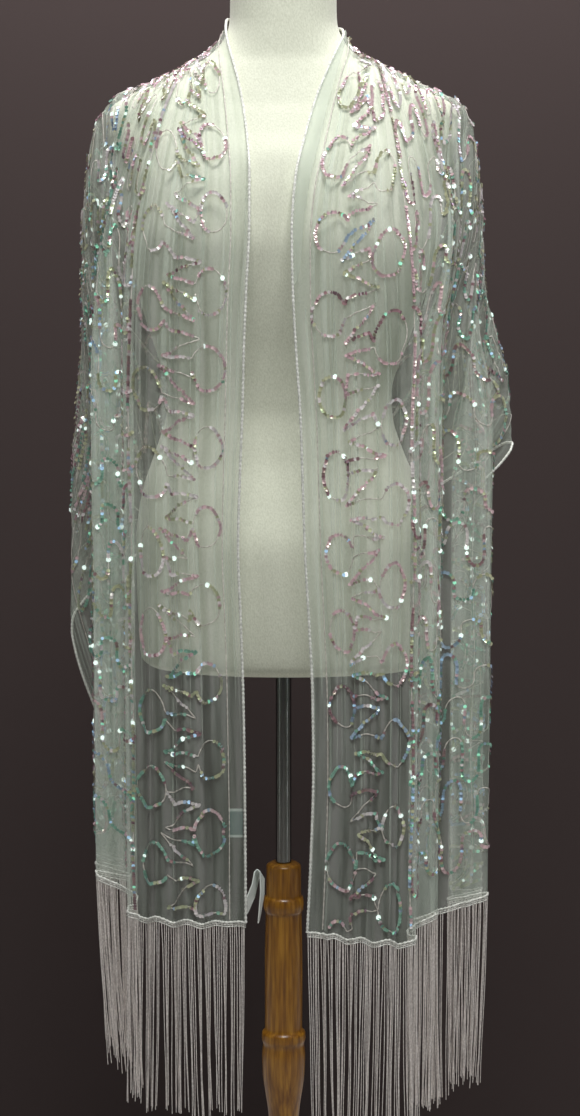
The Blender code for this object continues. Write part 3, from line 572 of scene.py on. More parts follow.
def hang_point(side, share, height, fallen):
    """(out, y) of a line in the hanging front, where it has fallen so far below its crossing."""
    crossing_out = read(CROSSINGS, side + "_out", share)
    settle = read(CROSSINGS, side + "_settle", share)
    fold_reach = getattr(PLEATS[0], side + "_reach")
    flare = SHOULDER_FLARE * smooth_step((height - FLARE_STARTS) / (FLARE_FULL - FLARE_STARTS))
    beyond = smooth_step((share - FACE_SHARE) / PLEAT_BLEND)
    middle = lerp(fold_reach, PLEAT_MIDDLE[side] + flare, beyond)
    middle = lerp(read(INNER_EDGES, side, height), middle, min(share / FACE_SHARE, 1.0))
    near_tip = smooth_step((share - EVEN_SHARE) / EVEN_SPREAD)
    eased = 1 - (1 - min(fallen / settle, 1.0)) ** FALL_CURVE
    spread = lerp(eased, smooth_step(fallen / settle), near_tip)
    out = lerp(crossing_out, middle, spread)
    out = lerp(out, middle, smooth_step(1 - share / INNER_BLEND))
    deepened = 1 - (1 - min(fallen / (DEEPENS_BY * settle), 1.0)) ** 2
    folded = smooth_step((fallen / settle - FOLDS_FROM) / (1 - FOLDS_FROM))
    behind = face_behind(min(middle, fold_reach))
    if share > FACE_SHARE:
        reach = read_straight(pleat_knots(side + "_reach", 0.0), share)
        out += (reach - PLEAT_MIDDLE[side]) * folded * beyond
        behind += FOLD_END_DEPTH + read_straight(pleat_knots("behind", FOLD_END_DEPTH), share)
    y_hang = -FACE_FRONT + behind
    above_chest = smooth_step((height - CHEST_LOW) / (CHEST_HIGH - CHEST_LOW))
    on_chest = above_chest * smooth_step(fallen / CHEST_FALL)
    chest_edge = lerp(1.0, CHEST_EDGE, on_chest) * read(FORM_RINGS, "half_width", height)
    on_form = RIDGE_BEHIND - form_depth(min(out, chest_edge), height, "front")
    hanging = smooth_step((HANG_STARTS - height) / (HANG_STARTS - HANG_FREE))
    y_over = min(lerp(on_form, y_hang, hanging), on_form)
    y_round = lerp(SIDE_BEHIND, y_hang, deepened)
    return out, lerp(y_over, y_round, round_part(share))


def hem_height(side, share):
    if share <= FACE_SHARE:
        part = share / FACE_SHARE
        level = lerp(INNER_HEM[side], getattr(PLEATS[0], side + "_hem"), part)
    else:
        level = read_straight([(pleat.share, getattr(pleat, side + "_hem")) for pleat in PLEATS], share)
    eased = smooth_step(share / HEM_EASE_INNER) * smooth_step((1 - share) / HEM_EASE_OUTER)
    return level + HEM_WAVE * gather_wave(share) * eased


def gather_wave(share):
    """-1 in a trough, 1 on a crest."""
    if share <= PLEATS[0].share:
        return math.cos(2 * math.pi * FRONT_WAVES * min(share / FACE_SHARE, 1.0))
    for index, (low, high) in enumerate(zip(PLEATS, PLEATS[1:])):
        if share <= high.share:
            part = (share - low.share) / (high.share - low.share)
            sign = 1 if index % 2 == 0 else -1
            return sign * math.cos(math.pi * part)
    return -1.0


def resample(points, count):
    """The same route as count + 1 points at equal distances."""
    lengths = [0.0]
    for a, b in zip(points, points[1:]):
        lengths.append(lengths[-1] + (b - a).length)
    result = []
    i = 0
    for step in range(count + 1):
        target = lengths[-1] * step / count
        while i < len(points) - 2 and lengths[i + 1] < target:
            i += 1
        span = lengths[i + 1] - lengths[i]
        result.append(points[i].lerp(points[i + 1], (target - lengths[i]) / span if span else 0.0))
    return result


def stole_line(side, share):
    """The line's two stretches as equally spaced points: centre back to crossing, and crossing to hem."""
    sign = -1 if side == "left" else 1
    out = read(CROSSINGS, side + "_out", share)
    top = read(CROSSINGS, side + "_height", share)
    back_height = BACK_TOP - BACK_DROP * share
    behind = read(BACK_FALL, "behind", share)
    round_side = round_part(share)
    turn_behind = lerp(RIDGE_BEHIND, SIDE_BEHIND, round_side)
    back = []
    for i in range(LINE_STEPS + 1):
        turn = math.pi / 2 * i / LINE_STEPS
        x = sign * out * math.sin(turn)
        y = turn_behind + (behind - turn_behind) * math.cos(turn)
        height = lerp(back_height, top, math.sin(turn) ** BACK_CURVE)
        back.append(Vector((x, max(y, form_depth(x, height, "back")), height)))
    hem = hem_height(side, share)
    front = []
    for i in range(LINE_STEPS + 1):
        fallen = (top - hem) * (i / LINE_STEPS) ** FRONT_CURVE
        x, y = hang_point(side, share, top - fallen, fallen)
        front.append(Vector((sign * x, y, top - fallen)))
    back = resample(back, LINE_STEPS)
    front = resample(front, LINE_STEPS * 3)
    whole = back + front[1:]
    low = LINE_STEPS - CORNER_REACH
    high = LINE_STEPS + CORNER_REACH
    for _ in range(CORNER_ROUNDS):
        for i in range(low, high):
            middle = (whole[i - 1] + whole[i + 1]) / 2
            whole[i] = whole[i].lerp(middle, 0.5 * round_side)
    return resample(whole[: LINE_STEPS + 1], LINE_STEPS), resample(whole[LINE_STEPS:], LINE_STEPS * 2)


def along_line(points, part):
    """The point at a part of a line's length, from its equally spaced points."""
    place = min(max(part, 0.0), 1.0) * (len(points) - 1)
    i = min(int(place), len(points) - 2)
    return points[i].lerp(points[i + 1], place - i)


def cloth_shares():
    """Shares of the mesh lines: even to the front fold, then each layer's middle and its fold's corners."""
    shares = [FACE_SHARE * i / CELLS_TO_FOLD for i in range(CELLS_TO_FOLD)]
    for pleat, after in zip(PLEATS, PLEATS[1:]):
        shares += [pleat.share - FOLD_END_SHARE, pleat.share + FOLD_END_SHARE]
        if after.share - pleat.share > WIDE_LAYER:
            shares.append((pleat.share + after.share) / 2)
    return shares + [PLEATS[-1].share]


def cloth_columns():
    """Places along the cloth, from the left hem to the right one: side, stretch and part of its length."""
    front = [(j / FRONT_ROWS) ** ROW_CURVE for j in range(1, FRONT_ROWS + 1)]
    back = [j / BACK_ROWS for j in range(BACK_ROWS + 1)]
    columns = [("left", "front", part) for part in reversed(front)]
    columns += [("left", "back", part) for part in reversed(back)]
    columns += [("right", "back", part) for part in back[1:]]
    columns += [("right", "front", part) for part in front]
    return columns


def lay_lines(shares, columns):
    """The cloth as a grid of points, before its gathers: a line for each share, a point for each column."""
    grid = []
    for share in shares:
        stretches = {}
        for side in ("left", "right"):
            stretches[side, "back"], stretches[side, "front"] = stole_line(side, share)
        grid.append([along_line(stretches[side, stretch], part) for side, stretch, part in columns])
    return grid


def raise_gathers(grid, shares, columns):
    """Moves each point out along its normal by the gather there."""
    raised = []
    for i, line in enumerate(grid):
        row = []
        for j, point in enumerate(line):
            across = grid[min(i + 1, len(grid) - 1)][j] - grid[max(i - 1, 0)][j]
            along = line[min(j + 1, len(line) - 1)] - line[max(j - 1, 0)]
            normal = along.cross(across).normalized()
            _, stretch, part = columns[j]
            fallen = part if stretch == "front" else part - 1
            front = read(GATHERS, "front", fallen)
            pleats = read(GATHERS, "pleats", fallen)
            blend = smooth_step((shares[i] - PLEATS[0].share) / GATHER_BLEND)
            row.append(point + normal * lerp(front, pleats, blend) * gather_wave(shares[i]))
        raised.append(row)
    return raised


def ease_shoulders(grid, shares):
    """Softens the cloth where it turns from the back to the front."""
    last = len(grid[0]) - 1
    for crossing in (FRONT_ROWS, last - FRONT_ROWS):
        for _ in range(EASE_ROUNDS):
            for i in range(len(grid)):
                for j in range(crossing - EASE_REACH, crossing + EASE_REACH + 1):
                    near = 1 - abs(j - crossing) / (EASE_REACH + 1)
                    mean = (grid[i][j - 1] + grid[i][j + 1]) / 2
                    if 0 < i < len(grid) - 1:
                        part = (shares[i] - shares[i - 1]) / (shares[i + 1] - shares[i - 1])
                        mean = (mean + grid[i - 1][j].lerp(grid[i + 1][j], part)) / 2
                    grid[i][j] = grid[i][j].lerp(mean, 0.5 * near)


def push_clear(grid, corners, spot, tree):
    """Where a spot of the cloth is too near the form, moves the corners that carry it out far enough."""
    near, normal, _, _ = tree.find_nearest(spot)
    missing = LEAST_OFF_FORM - (spot - near).dot(normal)
    if missing > 0:
        for i, j in corners:
            grid[i][j] = grid[i][j] + normal * missing


def settle_on_form(grid, tree):
    """Lays the cloth on the form: every corner, edge and cell of the grid ends up clear of it."""
    for line in grid:
        for j, point in enumerate(line):
            near, normal, _, _ = tree.find_nearest(point)
            if (point - near).dot(normal) < CLOTH_OFF_FORM:
                line[j] = near + normal * CLOTH_OFF_FORM
    for _ in range(SETTLING_ROUNDS):
        for i in range(len(grid) - 1):
            for j in range(len(grid[0]) - 1):
                a, b, c, d = (i, j), (i + 1, j), (i + 1, j + 1), (i, j + 1)
                for ends in ((a, b), (b, c), (c, d), (d, a), (a, c), (b, d)):
                    start, end = (grid[row][column] for row, column in ends)
                    for part in (0.25, 0.5, 0.75):
                        push_clear(grid, ends, start.lerp(end, part), tree)


# Finer sheet.


def smooth_columns(keys, values, wanted):
    """Rows of values at keys, read at wanted places on curves that never overshoot."""
    keys = np.asarray(keys, float)
    wanted = np.clip(np.asarray(wanted, float), keys[0], keys[-1])
    spans = np.diff(keys)
    shape = (-1,) + (1,) * (values.ndim - 1)
    slopes = np.diff(values, axis=0) / spans.reshape(shape)
    before, after = slopes[:-1], slopes[1:]
    steady = before * after > 0
    total = np.where(steady, before + after, 1.0)
    inner = np.where(steady, 2 * before * after / total, 0.0)
    tangents = np.concatenate([slopes[:1], inner, slopes[-1:]])
    i = np.clip(np.searchsorted(keys, wanted, side="right") - 1, 0, len(spans) - 1)
    span = spans[i].reshape(shape)
    t = ((wanted - keys[i]) / spans[i]).reshape(shape)
    return (
        values[i] * (1 + 2 * t) * (1 - t) ** 2
        + tangents[i] * span * t * (1 - t) ** 2
        + values[i + 1] * t * t * (3 - 2 * t)
        + tangents[i + 1] * span * t * t * (t - 1)
    )


def fine_shares(shares):
    """The lines of the finer sheet: more between the part's lines, and closer ones at each tuck."""
    result = []
    for low, high in zip(shares, shares[1:]):
        if high <= PLEATS[0].share:
            cells = FINE_FACE
        elif high - low < MOST_FOLD_ENDS * FOLD_END_SHARE:
            cells = FINE_FOLD
        else:
            cells = FINE_LAYER
        result += [lerp(low, high, i / cells) for i in range(cells)]
    for tuck in TUCKS:
        result += [tuck.share + TUCK_SPREAD * step for step in TUCK_LINES]
    result = sorted(result + [1.0])
    kept = [result[0]]
    for share in result[1:]:
        if share - kept[-1] > LEAST_SPACING:
            kept.append(share)
    kept[-1] = 1.0
    return np.array([share for share in kept if share >= 0])


def lengths_along(route):
    """The length of a route up to each of its points."""
    return np.concatenate([[0.0], np.cumsum(np.linalg.norm(np.diff(route, axis=0), axis=1))])


def even_lengths(route, lines):
    """Every line in steps that are equal by length, as many on each side of its centre, and even across."""
    centre = ROUTE_STEPS - 1
    places = []
    for line in route:
        halves = []
        for half in (line[: centre + 1][::-1], line[centre:]):
            lengths = lengths_along(half)
            wanted = np.linspace(0.0, lengths[-1], HALF_STEPS + 1)
            halves.append(np.interp(wanted, lengths, np.arange(len(lengths))))
        places.append(np.concatenate([centre - halves[0][::-1], centre + halves[1][1:]]))
    apart = (lines[:, None] - lines[None, :]) / EVEN_REACH
    weights = np.exp(-(apart**2) / 2) * np.gradient(lines)[None, :]
    places = (weights / weights.sum(axis=1, keepdims=True)) @ np.array(places)
    places = np.clip(places, 0, route.shape[1] - 1.001)
    low = places.astype(int)
    part = (places - low)[..., None]
    rows = np.arange(len(route))[:, None]
    return lerp(route[rows, low], route[rows, low + 1], part)


def unit(vectors):
    return vectors / np.maximum(np.linalg.norm(vectors, axis=-1, keepdims=True), 1e-9)


def sheet_frame(points):
    """Unit vectors across the sheet and out of it, away from the form, at each of its points."""
    across = unit(np.gradient(points, axis=0))
    along = unit(np.gradient(points, axis=1))
    return across, unit(np.cross(along, across))


def rise_and_fall(values, start, end, soft):
    """1 between start and end, fading to 0 over soft at each side."""
    up = np.clip((values - start) / soft, 0, 1)
    down = np.clip((end - values) / soft, 0, 1)
    both = np.minimum(up, down)
    return both * both * (3 - 2 * both)


def make_sheet(tree):
    """The finer sheet as an array of points: a row for each share, a column for each step along it."""
    shares = cloth_shares()
    columns = cloth_columns()
    grid = raise_gathers(lay_lines(shares, columns), shares, columns)
    ease_shoulders(grid, shares)
    settle_on_form(grid, tree)
    coarse = np.array([[tuple(point) for point in line] for line in grid])
    lines = fine_shares(shares)
    points = smooth_columns(shares, coarse, lines)
    steps = np.linalg.norm(np.diff(coarse, axis=1), axis=2).mean(axis=0)
    route_keys = np.concatenate([[0.0], np.cumsum(steps)])
    centre = FRONT_ROWS + BACK_ROWS
    left = np.linspace(0.0, route_keys[centre], ROUTE_STEPS)
    right = np.linspace(route_keys[centre], route_keys[-1], ROUTE_STEPS)
    wanted = np.concatenate([left, right[1:]])
    route = smooth_columns(route_keys, points.transpose(1, 0, 2), wanted).transpose(1, 0, 2)
    return lines, crease_sheet(even_lengths(route, lines), lines, tree)


def crease_sheet(points, lines, tree):
    """Adds the soft creases and the narrow tucks, and keeps the sheet clear of the form."""
    places = np.linspace(-1.0, 1.0, points.shape[1])[None, :]
    share = lines[:, None]
    _, out = sheet_frame(points)
    moved = np.zeros(points.shape[:2])
    for crease in CREASES:
        way = (places - crease.place) / crease.half_length
        off = (share - crease.share - crease.slant * way) / crease.half_width
        moved += crease.depth * np.exp(-(off**2)) * np.exp(-((way * CREASE_END) ** 4))
    past_neck = np.clip((np.abs(places) - NECK_REACH) / NECK_BLEND, 0, 1)
    for crimp in CRIMPS:
        sway = crimp.sway * np.sin(places * (4 + crimp.sway) + share * 7)
        strength = 0.6 + 0.4 * np.sin(share * (31 + crimp.ridges) + places * 5)
        ridge = np.sin(crimp.ridges * share * 2 * math.pi + sway)
        moved += crimp.depth * ridge * strength * lerp(CRIMPS_AT_NECK, 1.0, past_neck)
    points = points + out * moved[..., None]
    across, out = sheet_frame(points)
    aside = np.zeros(points.shape[:2])
    lifted = np.zeros(points.shape[:2])
    for index, tuck in enumerate(TUCKS):
        way = places * tuck.side
        drift = TUCK_DRIFT * np.sin(way * 9 + index * 2.1)
        off = (share - tuck.share - drift) / TUCK_SPREAD
        strength = rise_and_fall(way, tuck.start, tuck.end + TUCK_FADE, TUCK_FADE)
        strength = strength * (0.75 + 0.25 * np.sin(way * 17 + index * 1.7))
        hump = tuck.depth * np.exp(-(off**2) / 2) * strength
        aside -= off * hump
        lifted += 0.5 * hump * (1 if index % 2 else -1)
    points = points + across * aside[..., None] + out * lifted[..., None]
    for spot in points.reshape(-1, 3):
        near, normal, _, _ = tree.find_nearest(Vector(spot))
        missing = LEAST_NET_GAP - (Vector(spot) - near).dot(normal)
        if missing > 0 and (Vector(spot) - near).length < NEAR_FORM:
            spot += np.array(normal) * missing
    return points


def evened_shares(points, lines):
    """For each row, the shares on the sheet that are seen evenly spaced, beside what the tucks take in."""
    reflected = np.concatenate([-lines[:0:-1], lines, 2 - lines[-2::-1]])
    apart = (lines[:, None] - reflected[None, :]) / SPREAD_REACH
    weights = np.exp(-(apart**2) / 2) * np.gradient(reflected)
    weights /= weights.sum(axis=1, keepdims=True)

    def smooth(values):
        before = 2 * values[:1] - values[:0:-1]
        after = 2 * values[-1:] - values[-2::-1]
        return np.tensordot(weights, np.concatenate([before, values, after]), 1)

    ahead = unit(np.diff(smooth(points), axis=0))
    forward = np.maximum((np.diff(points, axis=0) * ahead).sum(axis=2), 1e-5)
    seen = np.concatenate([np.zeros((1, points.shape[1])), np.cumsum(forward, axis=0)])
    even = smooth(seen)
    columns = [np.interp(even[:, j], seen[:, j], lines) for j in range(points.shape[1])]
    return np.stack(columns, axis=1)


class Cloth:
    """The sheet, read in cloth measures."""

    def __init__(self, lines, points):
        self.lines = lines
        self.points = points
        self.out = sheet_frame(points)[1]
        self.shares = evened_shares(points, lines)

    def rows(self, share):
        """Row places of shares of the width."""
        row = np.interp(share, self.lines, np.arange(len(self.lines)))
        row = np.clip(row, 0, len(self.lines) - 1.001)
        return row.astype(int), row - row.astype(int)

    def read(self, u, v):
        """Place and outward normal at arrays of u and v."""
        column = np.clip((np.asarray(v) / CLOTH_HALF + 1) * HALF_STEPS, 0, 2 * HALF_STEPS - 0.001)
        j = column.astype(int)
        t = column - j

        def blend(values, i, s, t):
            low = lerp(values[i, j], values[i, j + 1], t)
            return lerp(low, lerp(values[i + 1, j], values[i + 1, j + 1], t), s)

        i, s = self.rows(np.asarray(u) / CLOTH_WIDTH)
        i, s = self.rows(blend(self.shares, i, s, t))
        s, t = s[:, None], t[:, None]
        return blend(self.points, i, s, t), unit(blend(self.out, i, s, t))


# Meshes.


def add_mesh(name, points, faces, materials, slot, indexes=None):
    """A smooth piece from arrays of points and faces, with the index of each face's material."""
    mesh = bpy.data.meshes.new(name)
    mesh.from_pydata(np.reshape(points, (-1, 3)), [], faces, shade_flat=False)
    for material in materials:
        mesh.materials.append(material)
    if indexes is not None:
        mesh.polygons.foreach_set("material_index", np.asarray(indexes, np.int32))
    mesh.validate()
    obj = bpy.data.objects.new(name, mesh)
    bpy.context.scene.collection.objects.link(obj)
    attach(obj, "root")
    return obj


def grid_faces(rows, columns):
    i, j = np.meshgrid(np.arange(rows - 1), np.arange(columns - 1), indexing="ij")
    a = (i * columns + j).ravel()
    return np.stack([a, a + 1, a + columns + 1, a + columns], axis=1)


def tube_faces(count, sides):
    i, j = np.meshgrid(np.arange(count - 1), np.arange(sides), indexing="ij")
    a = (i * sides + j).ravel()
    b = (i * sides + (j + 1) % sides).ravel()
    return np.stack([a, b, b + sides, a + sides], axis=1)


def tube(route, radii, sides, turn=0.0):
    """Points and faces of an open tube along a route, with a radius at each of the route's points."""
    ahead = unit(np.gradient(route, axis=0))
    side = unit(np.cross(ahead, OFF_AXIS))
    up = np.cross(ahead, side)
    angles = (np.arange(sides) * 2 * math.pi / sides + turn)[None, :, None]
    ring = side[:, None, :] * np.cos(angles) + up[:, None, :] * np.sin(angles)
    points = route[:, None, :] + ring * radii[:, None, None]
    return points.reshape(-1, 3), tube_faces(len(route), sides)


def ribbon(routes):
    """Points and faces of a strip through routes that run side by side."""
    points = np.stack(routes, axis=1)
    return points.reshape(-1, 3), grid_faces(len(points), len(routes))


def joined(parts):
    """Many parts, each its points and its faces, as one."""
    starts = np.cumsum([0] + [len(points) for points, _ in parts])
    faces = [faces + start for (_, faces), start in zip(parts, starts)]
    return np.concatenate([points for points, _ in parts]), np.concatenate(faces)


def make_net(lines, points, material):
    rows, columns = points.shape[:2]
    obj = add_mesh("net_sheet", points, grid_faces(rows, columns), [material], "net")
    layer = obj.data.uv_layers.new(name="Cloth")
    u = np.repeat(lines * CLOTH_WIDTH, columns)
    v = np.tile(np.linspace(-CLOTH_HALF, CLOTH_HALF, columns), rows)
    corners = np.empty(len(obj.data.loops), np.int32)
    obj.data.loops.foreach_get("vertex_index", corners)
    layer.data.foreach_set("uv", np.stack([u[corners], v[corners]], axis=1).astype(np.float32).ravel())
    return obj


def resample_route(route, step):
    lengths = lengths_along(route)
    wanted = np.linspace(0.0, lengths[-1], max(int(lengths[-1] / step), 2))
    return np.stack([np.interp(wanted, lengths, route[:, k]) for k in range(route.shape[1])], axis=1)


def make_edges(points, material):
    """The rolled edges: a thin overcast cord along both long edges and both hems."""
    cords = []
    for route in (points[0], points[-1], points[:, 0], points[:, -1]):
        route = resample_route(route, EDGE_STEP)
        turns = np.arange(len(route)) * EDGE_STEP * 2 * math.pi / EDGE_STITCH
        cords.append(tube(route, EDGE_RADIUS * (1 + 0.28 * np.sin(turns)), EDGE_SIDES))
    return add_mesh("rolled_edges", *joined(cords), [material], "net")


def outer_lean(x):
    """How far a strand at an outer end of a fringe leans across by its foot."""
    left = min(max((-x - LEAN_LEFT_FROM) / LEAN_BLEND, 0), 1)
    right = min(max((x - LEAN_RIGHT_FROM) / LEAN_BLEND, 0), 1)
    return LEAN_LEFT * left + LEAN_RIGHT * right


def make_fringe_strands(side, hem, heading, silk, draw):
    """Strands under one hem, each a little uneven in length, sway and spacing, below a stitched heading."""
    hem = resample_route(hem, HEM_STEP)
    picks = (np.arange(FINE_STRANDS) + 0.5) / FINE_STRANDS * (len(hem) - 1)
    groups, left = [], 0
    for index in range(FINE_STRANDS):
        if left == 0:
            left = draw.choice(GROUP_SIZES)
            middle = hem[int(round(picks[min(index + (left - 1) // 2, FINE_STRANDS - 1)]))]
            lowest = FRINGE_LENGTH + draw.uniform(-0.007, 0.003)
        groups.append((middle, lowest))
        left -= 1
    strands = []
    down = np.linspace(0.0, 1.0, STRAND_STEPS)
    for index, pick in enumerate(picks):
        spot = hem[int(round(pick + draw.uniform(-0.5, 0.5)))]
        if abs(spot[0]) > OUTER_STARTS and index % 5 in (1, 3):
            continue
        middle, lowest = groups[index]
        drawn = (middle - spot) * draw.uniform(0.35, 0.85)
        length = lowest + 0.003 * math.sin(index * 0.31) + draw.uniform(-0.005, 0.002)
        clump = math.sin(2 * math.pi * pick * HEM_STEP / CLUMP + 2.0 * math.sin(index * 0.07))
        lean = 0.0016 * clump + 0.003 * math.sin(index * 0.117 + side) + draw.uniform(-0.0011, 0.0011)
        lean += outer_lean(spot[0])
        deep = 0.002 * math.cos(index * 0.083) + draw.uniform(-0.0022, 0.0022)
        wave = draw.uniform(0.0, 6.28)
        bow = 0.0006 * np.sin(down * 7 + wave) * down
        x = spot[0] + lean * down**1.4 + drawn[0] * down**0.6 + bow
        y = spot[1] + deep * down**1.4 + drawn[1] * down**0.6 - bow
        route = np.stack([x, y, spot[2] - ROOT_GAP - length * down], axis=1)
        strands.append(tube(route, STRAND_RADIUS * (1 - 0.25 * down), STRAND_SIDES, wave))
    rows = []
    for lower in HEADING_ROWS:
        route = resample_route(hem - np.array([0.0, 0.0, lower]), EDGE_STEP)
        radii = HEADING_RADIUS * (1 + 0.35 * np.sin(np.arange(len(route)) * 2.4 + lower * 900))
        rows.append(tube(route, radii, STRAND_SIDES))
    name = "left" if side < 0 else "right"
    strands = add_mesh("strands_" + name, *joined(strands), [silk], "fringe")
    return strands, add_mesh("heading_" + name, *joined(rows), [heading], "fringe")


# Sewn pattern.


def open_loop(u, v, facing, draw):
    """A tall loop round a middle. Facing is the side, 1 or -1, that it is open to."""
    wide = LOOP_WIDE * draw.uniform(0.88, 1.1)
    tall = LOOP_TALL * draw.uniform(0.88, 1.12)
    opening = math.radians(draw.uniform(-9, 26))
    turns = np.linspace(opening, 2 * math.pi - opening, 30)
    return np.stack([u + facing * wide * np.cos(turns), v - tall * np.sin(turns)], axis=1)


def star_strokes(knots, v, draw):
    """Straight strokes between two loops."""
    return [(k.u + draw.uniform(-0.003, 0.003), v + k.v + draw.uniform(-0.003, 0.003)) for k in knots]


def chain_path(draw):
    """The band beside a border: tall loops, by turns at its inner and outer side, and star strokes."""
    path = []
    v = -CLOTH_HALF - draw.uniform(0.0, 0.02)
    while v < CLOTH_HALF:
        inner = INNER_LOOP + draw.uniform(-0.002, 0.002)
        path.append(open_loop(inner, v + LOOP_TALL, 1, draw))
        path.append(star_strokes(STAR_AFTER_INNER, v, draw))
        outer = OUTER_LOOP + draw.uniform(-0.002, 0.002)
        path.append(open_loop(outer, v + LOOP_TALL + OUTER_LOOP_LATER, -1, draw))
        path.append(star_strokes(STAR_AFTER_OUTER, v, draw))
        v += CHAIN_PITCH * draw.uniform(0.96, 1.04)
    path = np.concatenate(path)
    return path[np.abs(path[:, 1]) < CLOTH_HALF - PATTERN_ENDS]


def meander_path(middle, draw):
    """One row of the middle field: rounded fingers that reach up and down as they go across."""
    width = CLOTH_WIDTH - 2 * BAND_END
    turns = np.arange(0.0, width / FINGER_PITCH * 2 * math.pi, 0.2)
    phase = draw.uniform(0, 6.28)
    wander = 0.35 * np.sin(turns * 0.31 + phase) + 0.2 * np.sin(turns * 0.77 + phase * 2)
    reach = FINGER_REACH * (1 + 0.4 * np.sin(turns * 0.47 + phase * 3))
    sway = turns + phase + wander
    u = BAND_END + turns / (2 * math.pi) * FINGER_PITCH - FINGER_BULGE * np.sin(2 * sway)
    v = middle + reach * np.sin(sway) + FINGER_DRIFT * np.sin(turns * 0.19 + phase)
    return np.stack([u, v], axis=1)


def sewn_paths(draw):
    """All lines of the pattern in cloth measures."""
    near, far = chain_path(draw), chain_path(draw)
    far[:, 0] = CLOTH_WIDTH - far[:, 0]
    paths = [near, far]
    for u in (BAND_END, CLOTH_WIDTH - BAND_END):
        v = np.arange(-CLOTH_HALF + PATTERN_ENDS, CLOTH_HALF - PATTERN_ENDS, 0.01)
        paths.append(np.stack([u + 0.0012 * np.sin(v * 31), v], axis=1))
    rows = int(2 * CLOTH_HALF / FINGER_ROWS) - 1
    for k in range(rows):
        paths.append(meander_path((k - (rows - 1) / 2) * FINGER_ROWS, draw))
    return [resample_route(path, THREAD_STEP / 2) for path in paths]


def make_crinkles(cloth, material, draw):
    """Pressed crinkles: narrow lines, along the cloth, where the net lies doubled."""
    strips = []
    for index in range(CRINKLES):
        share = (index + draw.uniform(0.2, 0.8)) / CRINKLES
        side = draw.choice((-1, 1))
        start = draw.uniform(0.02, 0.45)
        end = draw.uniform(0.70, 1.0)
        v = np.linspace(start, end, int((end - start) / CRINKLE_STEP)) * side * CLOTH_HALF
        middle = share * CLOTH_WIDTH + CRINKLE_SWAY * np.sin(v * 9 + index)
        width = draw.choice(CRINKLE_WIDTHS) * np.sin(math.pi * np.linspace(0.02, 0.98, len(v))) ** 0.4
        rows = []
        for edge in (-0.5, 0.5):
            u = np.clip(middle + edge * width, CRINKLE_RIM, CLOTH_WIDTH - CRINKLE_RIM)
            place, out = cloth.read(u, v)
            rows.append(place + out * CRINKLE_LIFT)
        strips.append(ribbon(rows))
    return add_mesh("crinkles", *joined(strips), [material], "net")


def border_lines():
    """The plain stitched lines where the borders end."""
    v = np.arange(-CLOTH_HALF + PATTERN_ENDS / 2, CLOTH_HALF - PATTERN_ENDS / 2, THREAD_STEP / 2)
    return [np.stack([np.full(len(v), u), v], axis=1) for u in (BORDER, CLOTH_WIDTH - BORDER)]


def make_turned_border(cloth, material):
    """The upper border of the right front, turned back on itself from the neck to the bust."""
    v = np.linspace(TURNED_STARTS, TURNED_ENDS, TURNED_COLUMNS)
    ease = np.sin(math.pi * (v - TURNED_STARTS) / (TURNED_ENDS - TURNED_STARTS)) ** 0.35
    ripple = 0.0004 * np.sin(v * 90)[:, None]
    rows = []
    for part in np.linspace(0.0, 1.0, TURNED_ROWS):
        place, out = cloth.read(TURNED_WIDTH * part * ease + 0.0004, v)
        rows.append(place + out * (0.0012 + 0.0014 * math.sin(math.pi * part) + ripple))
    return add_mesh("turned_border", rows, grid_faces(TURNED_ROWS, TURNED_COLUMNS), [material], "net")


def make_thread(cloth, paths, material):
    """The couched thread that the sequins hang on, as a narrow ribbon on the cloth."""
    strips = []
    for path in paths:
        place, out = cloth.read(*path[::2].T)
        ahead = unit(np.gradient(place, axis=0))
        sway = (0.75 + 0.25 * np.sin(np.arange(len(place)) * 2.2))[:, None]
        aside = unit(np.cross(ahead, out)) * THREAD_WIDTH / 2 * sway
        lifted = place + out * THREAD_LIFT
        strips.append(ribbon([lifted - aside, lifted + out * THREAD_CREST, lifted + aside]))
    return add_mesh("couched_thread", *joined(strips), [material], "net")


def pick_color(place, draw, single=False):
    """Painted reflection: a sequin's colour goes by what lies behind it, rose and gold over the pale form
    and green and blue over the dark. A single sequin may take a glowing kind, a painted glint.
    """
    over_form = place[2] > SEEN_AS_FORM_ABOVE and abs(place[0]) < SEEN_AS_FORM_WITHIN
    kind = draw.choices(range(6), OVER_FORM_WEIGHTS if over_form else OVER_DARK_WEIGHTS)[0]
    painted_glint = draw.random() < (OVER_FORM_GLINT_SHARE if over_form else OVER_DARK_GLINT_SHARE)
    return draw.choice(GLINT_GLOW_KINDS) if painted_glint and single else kind


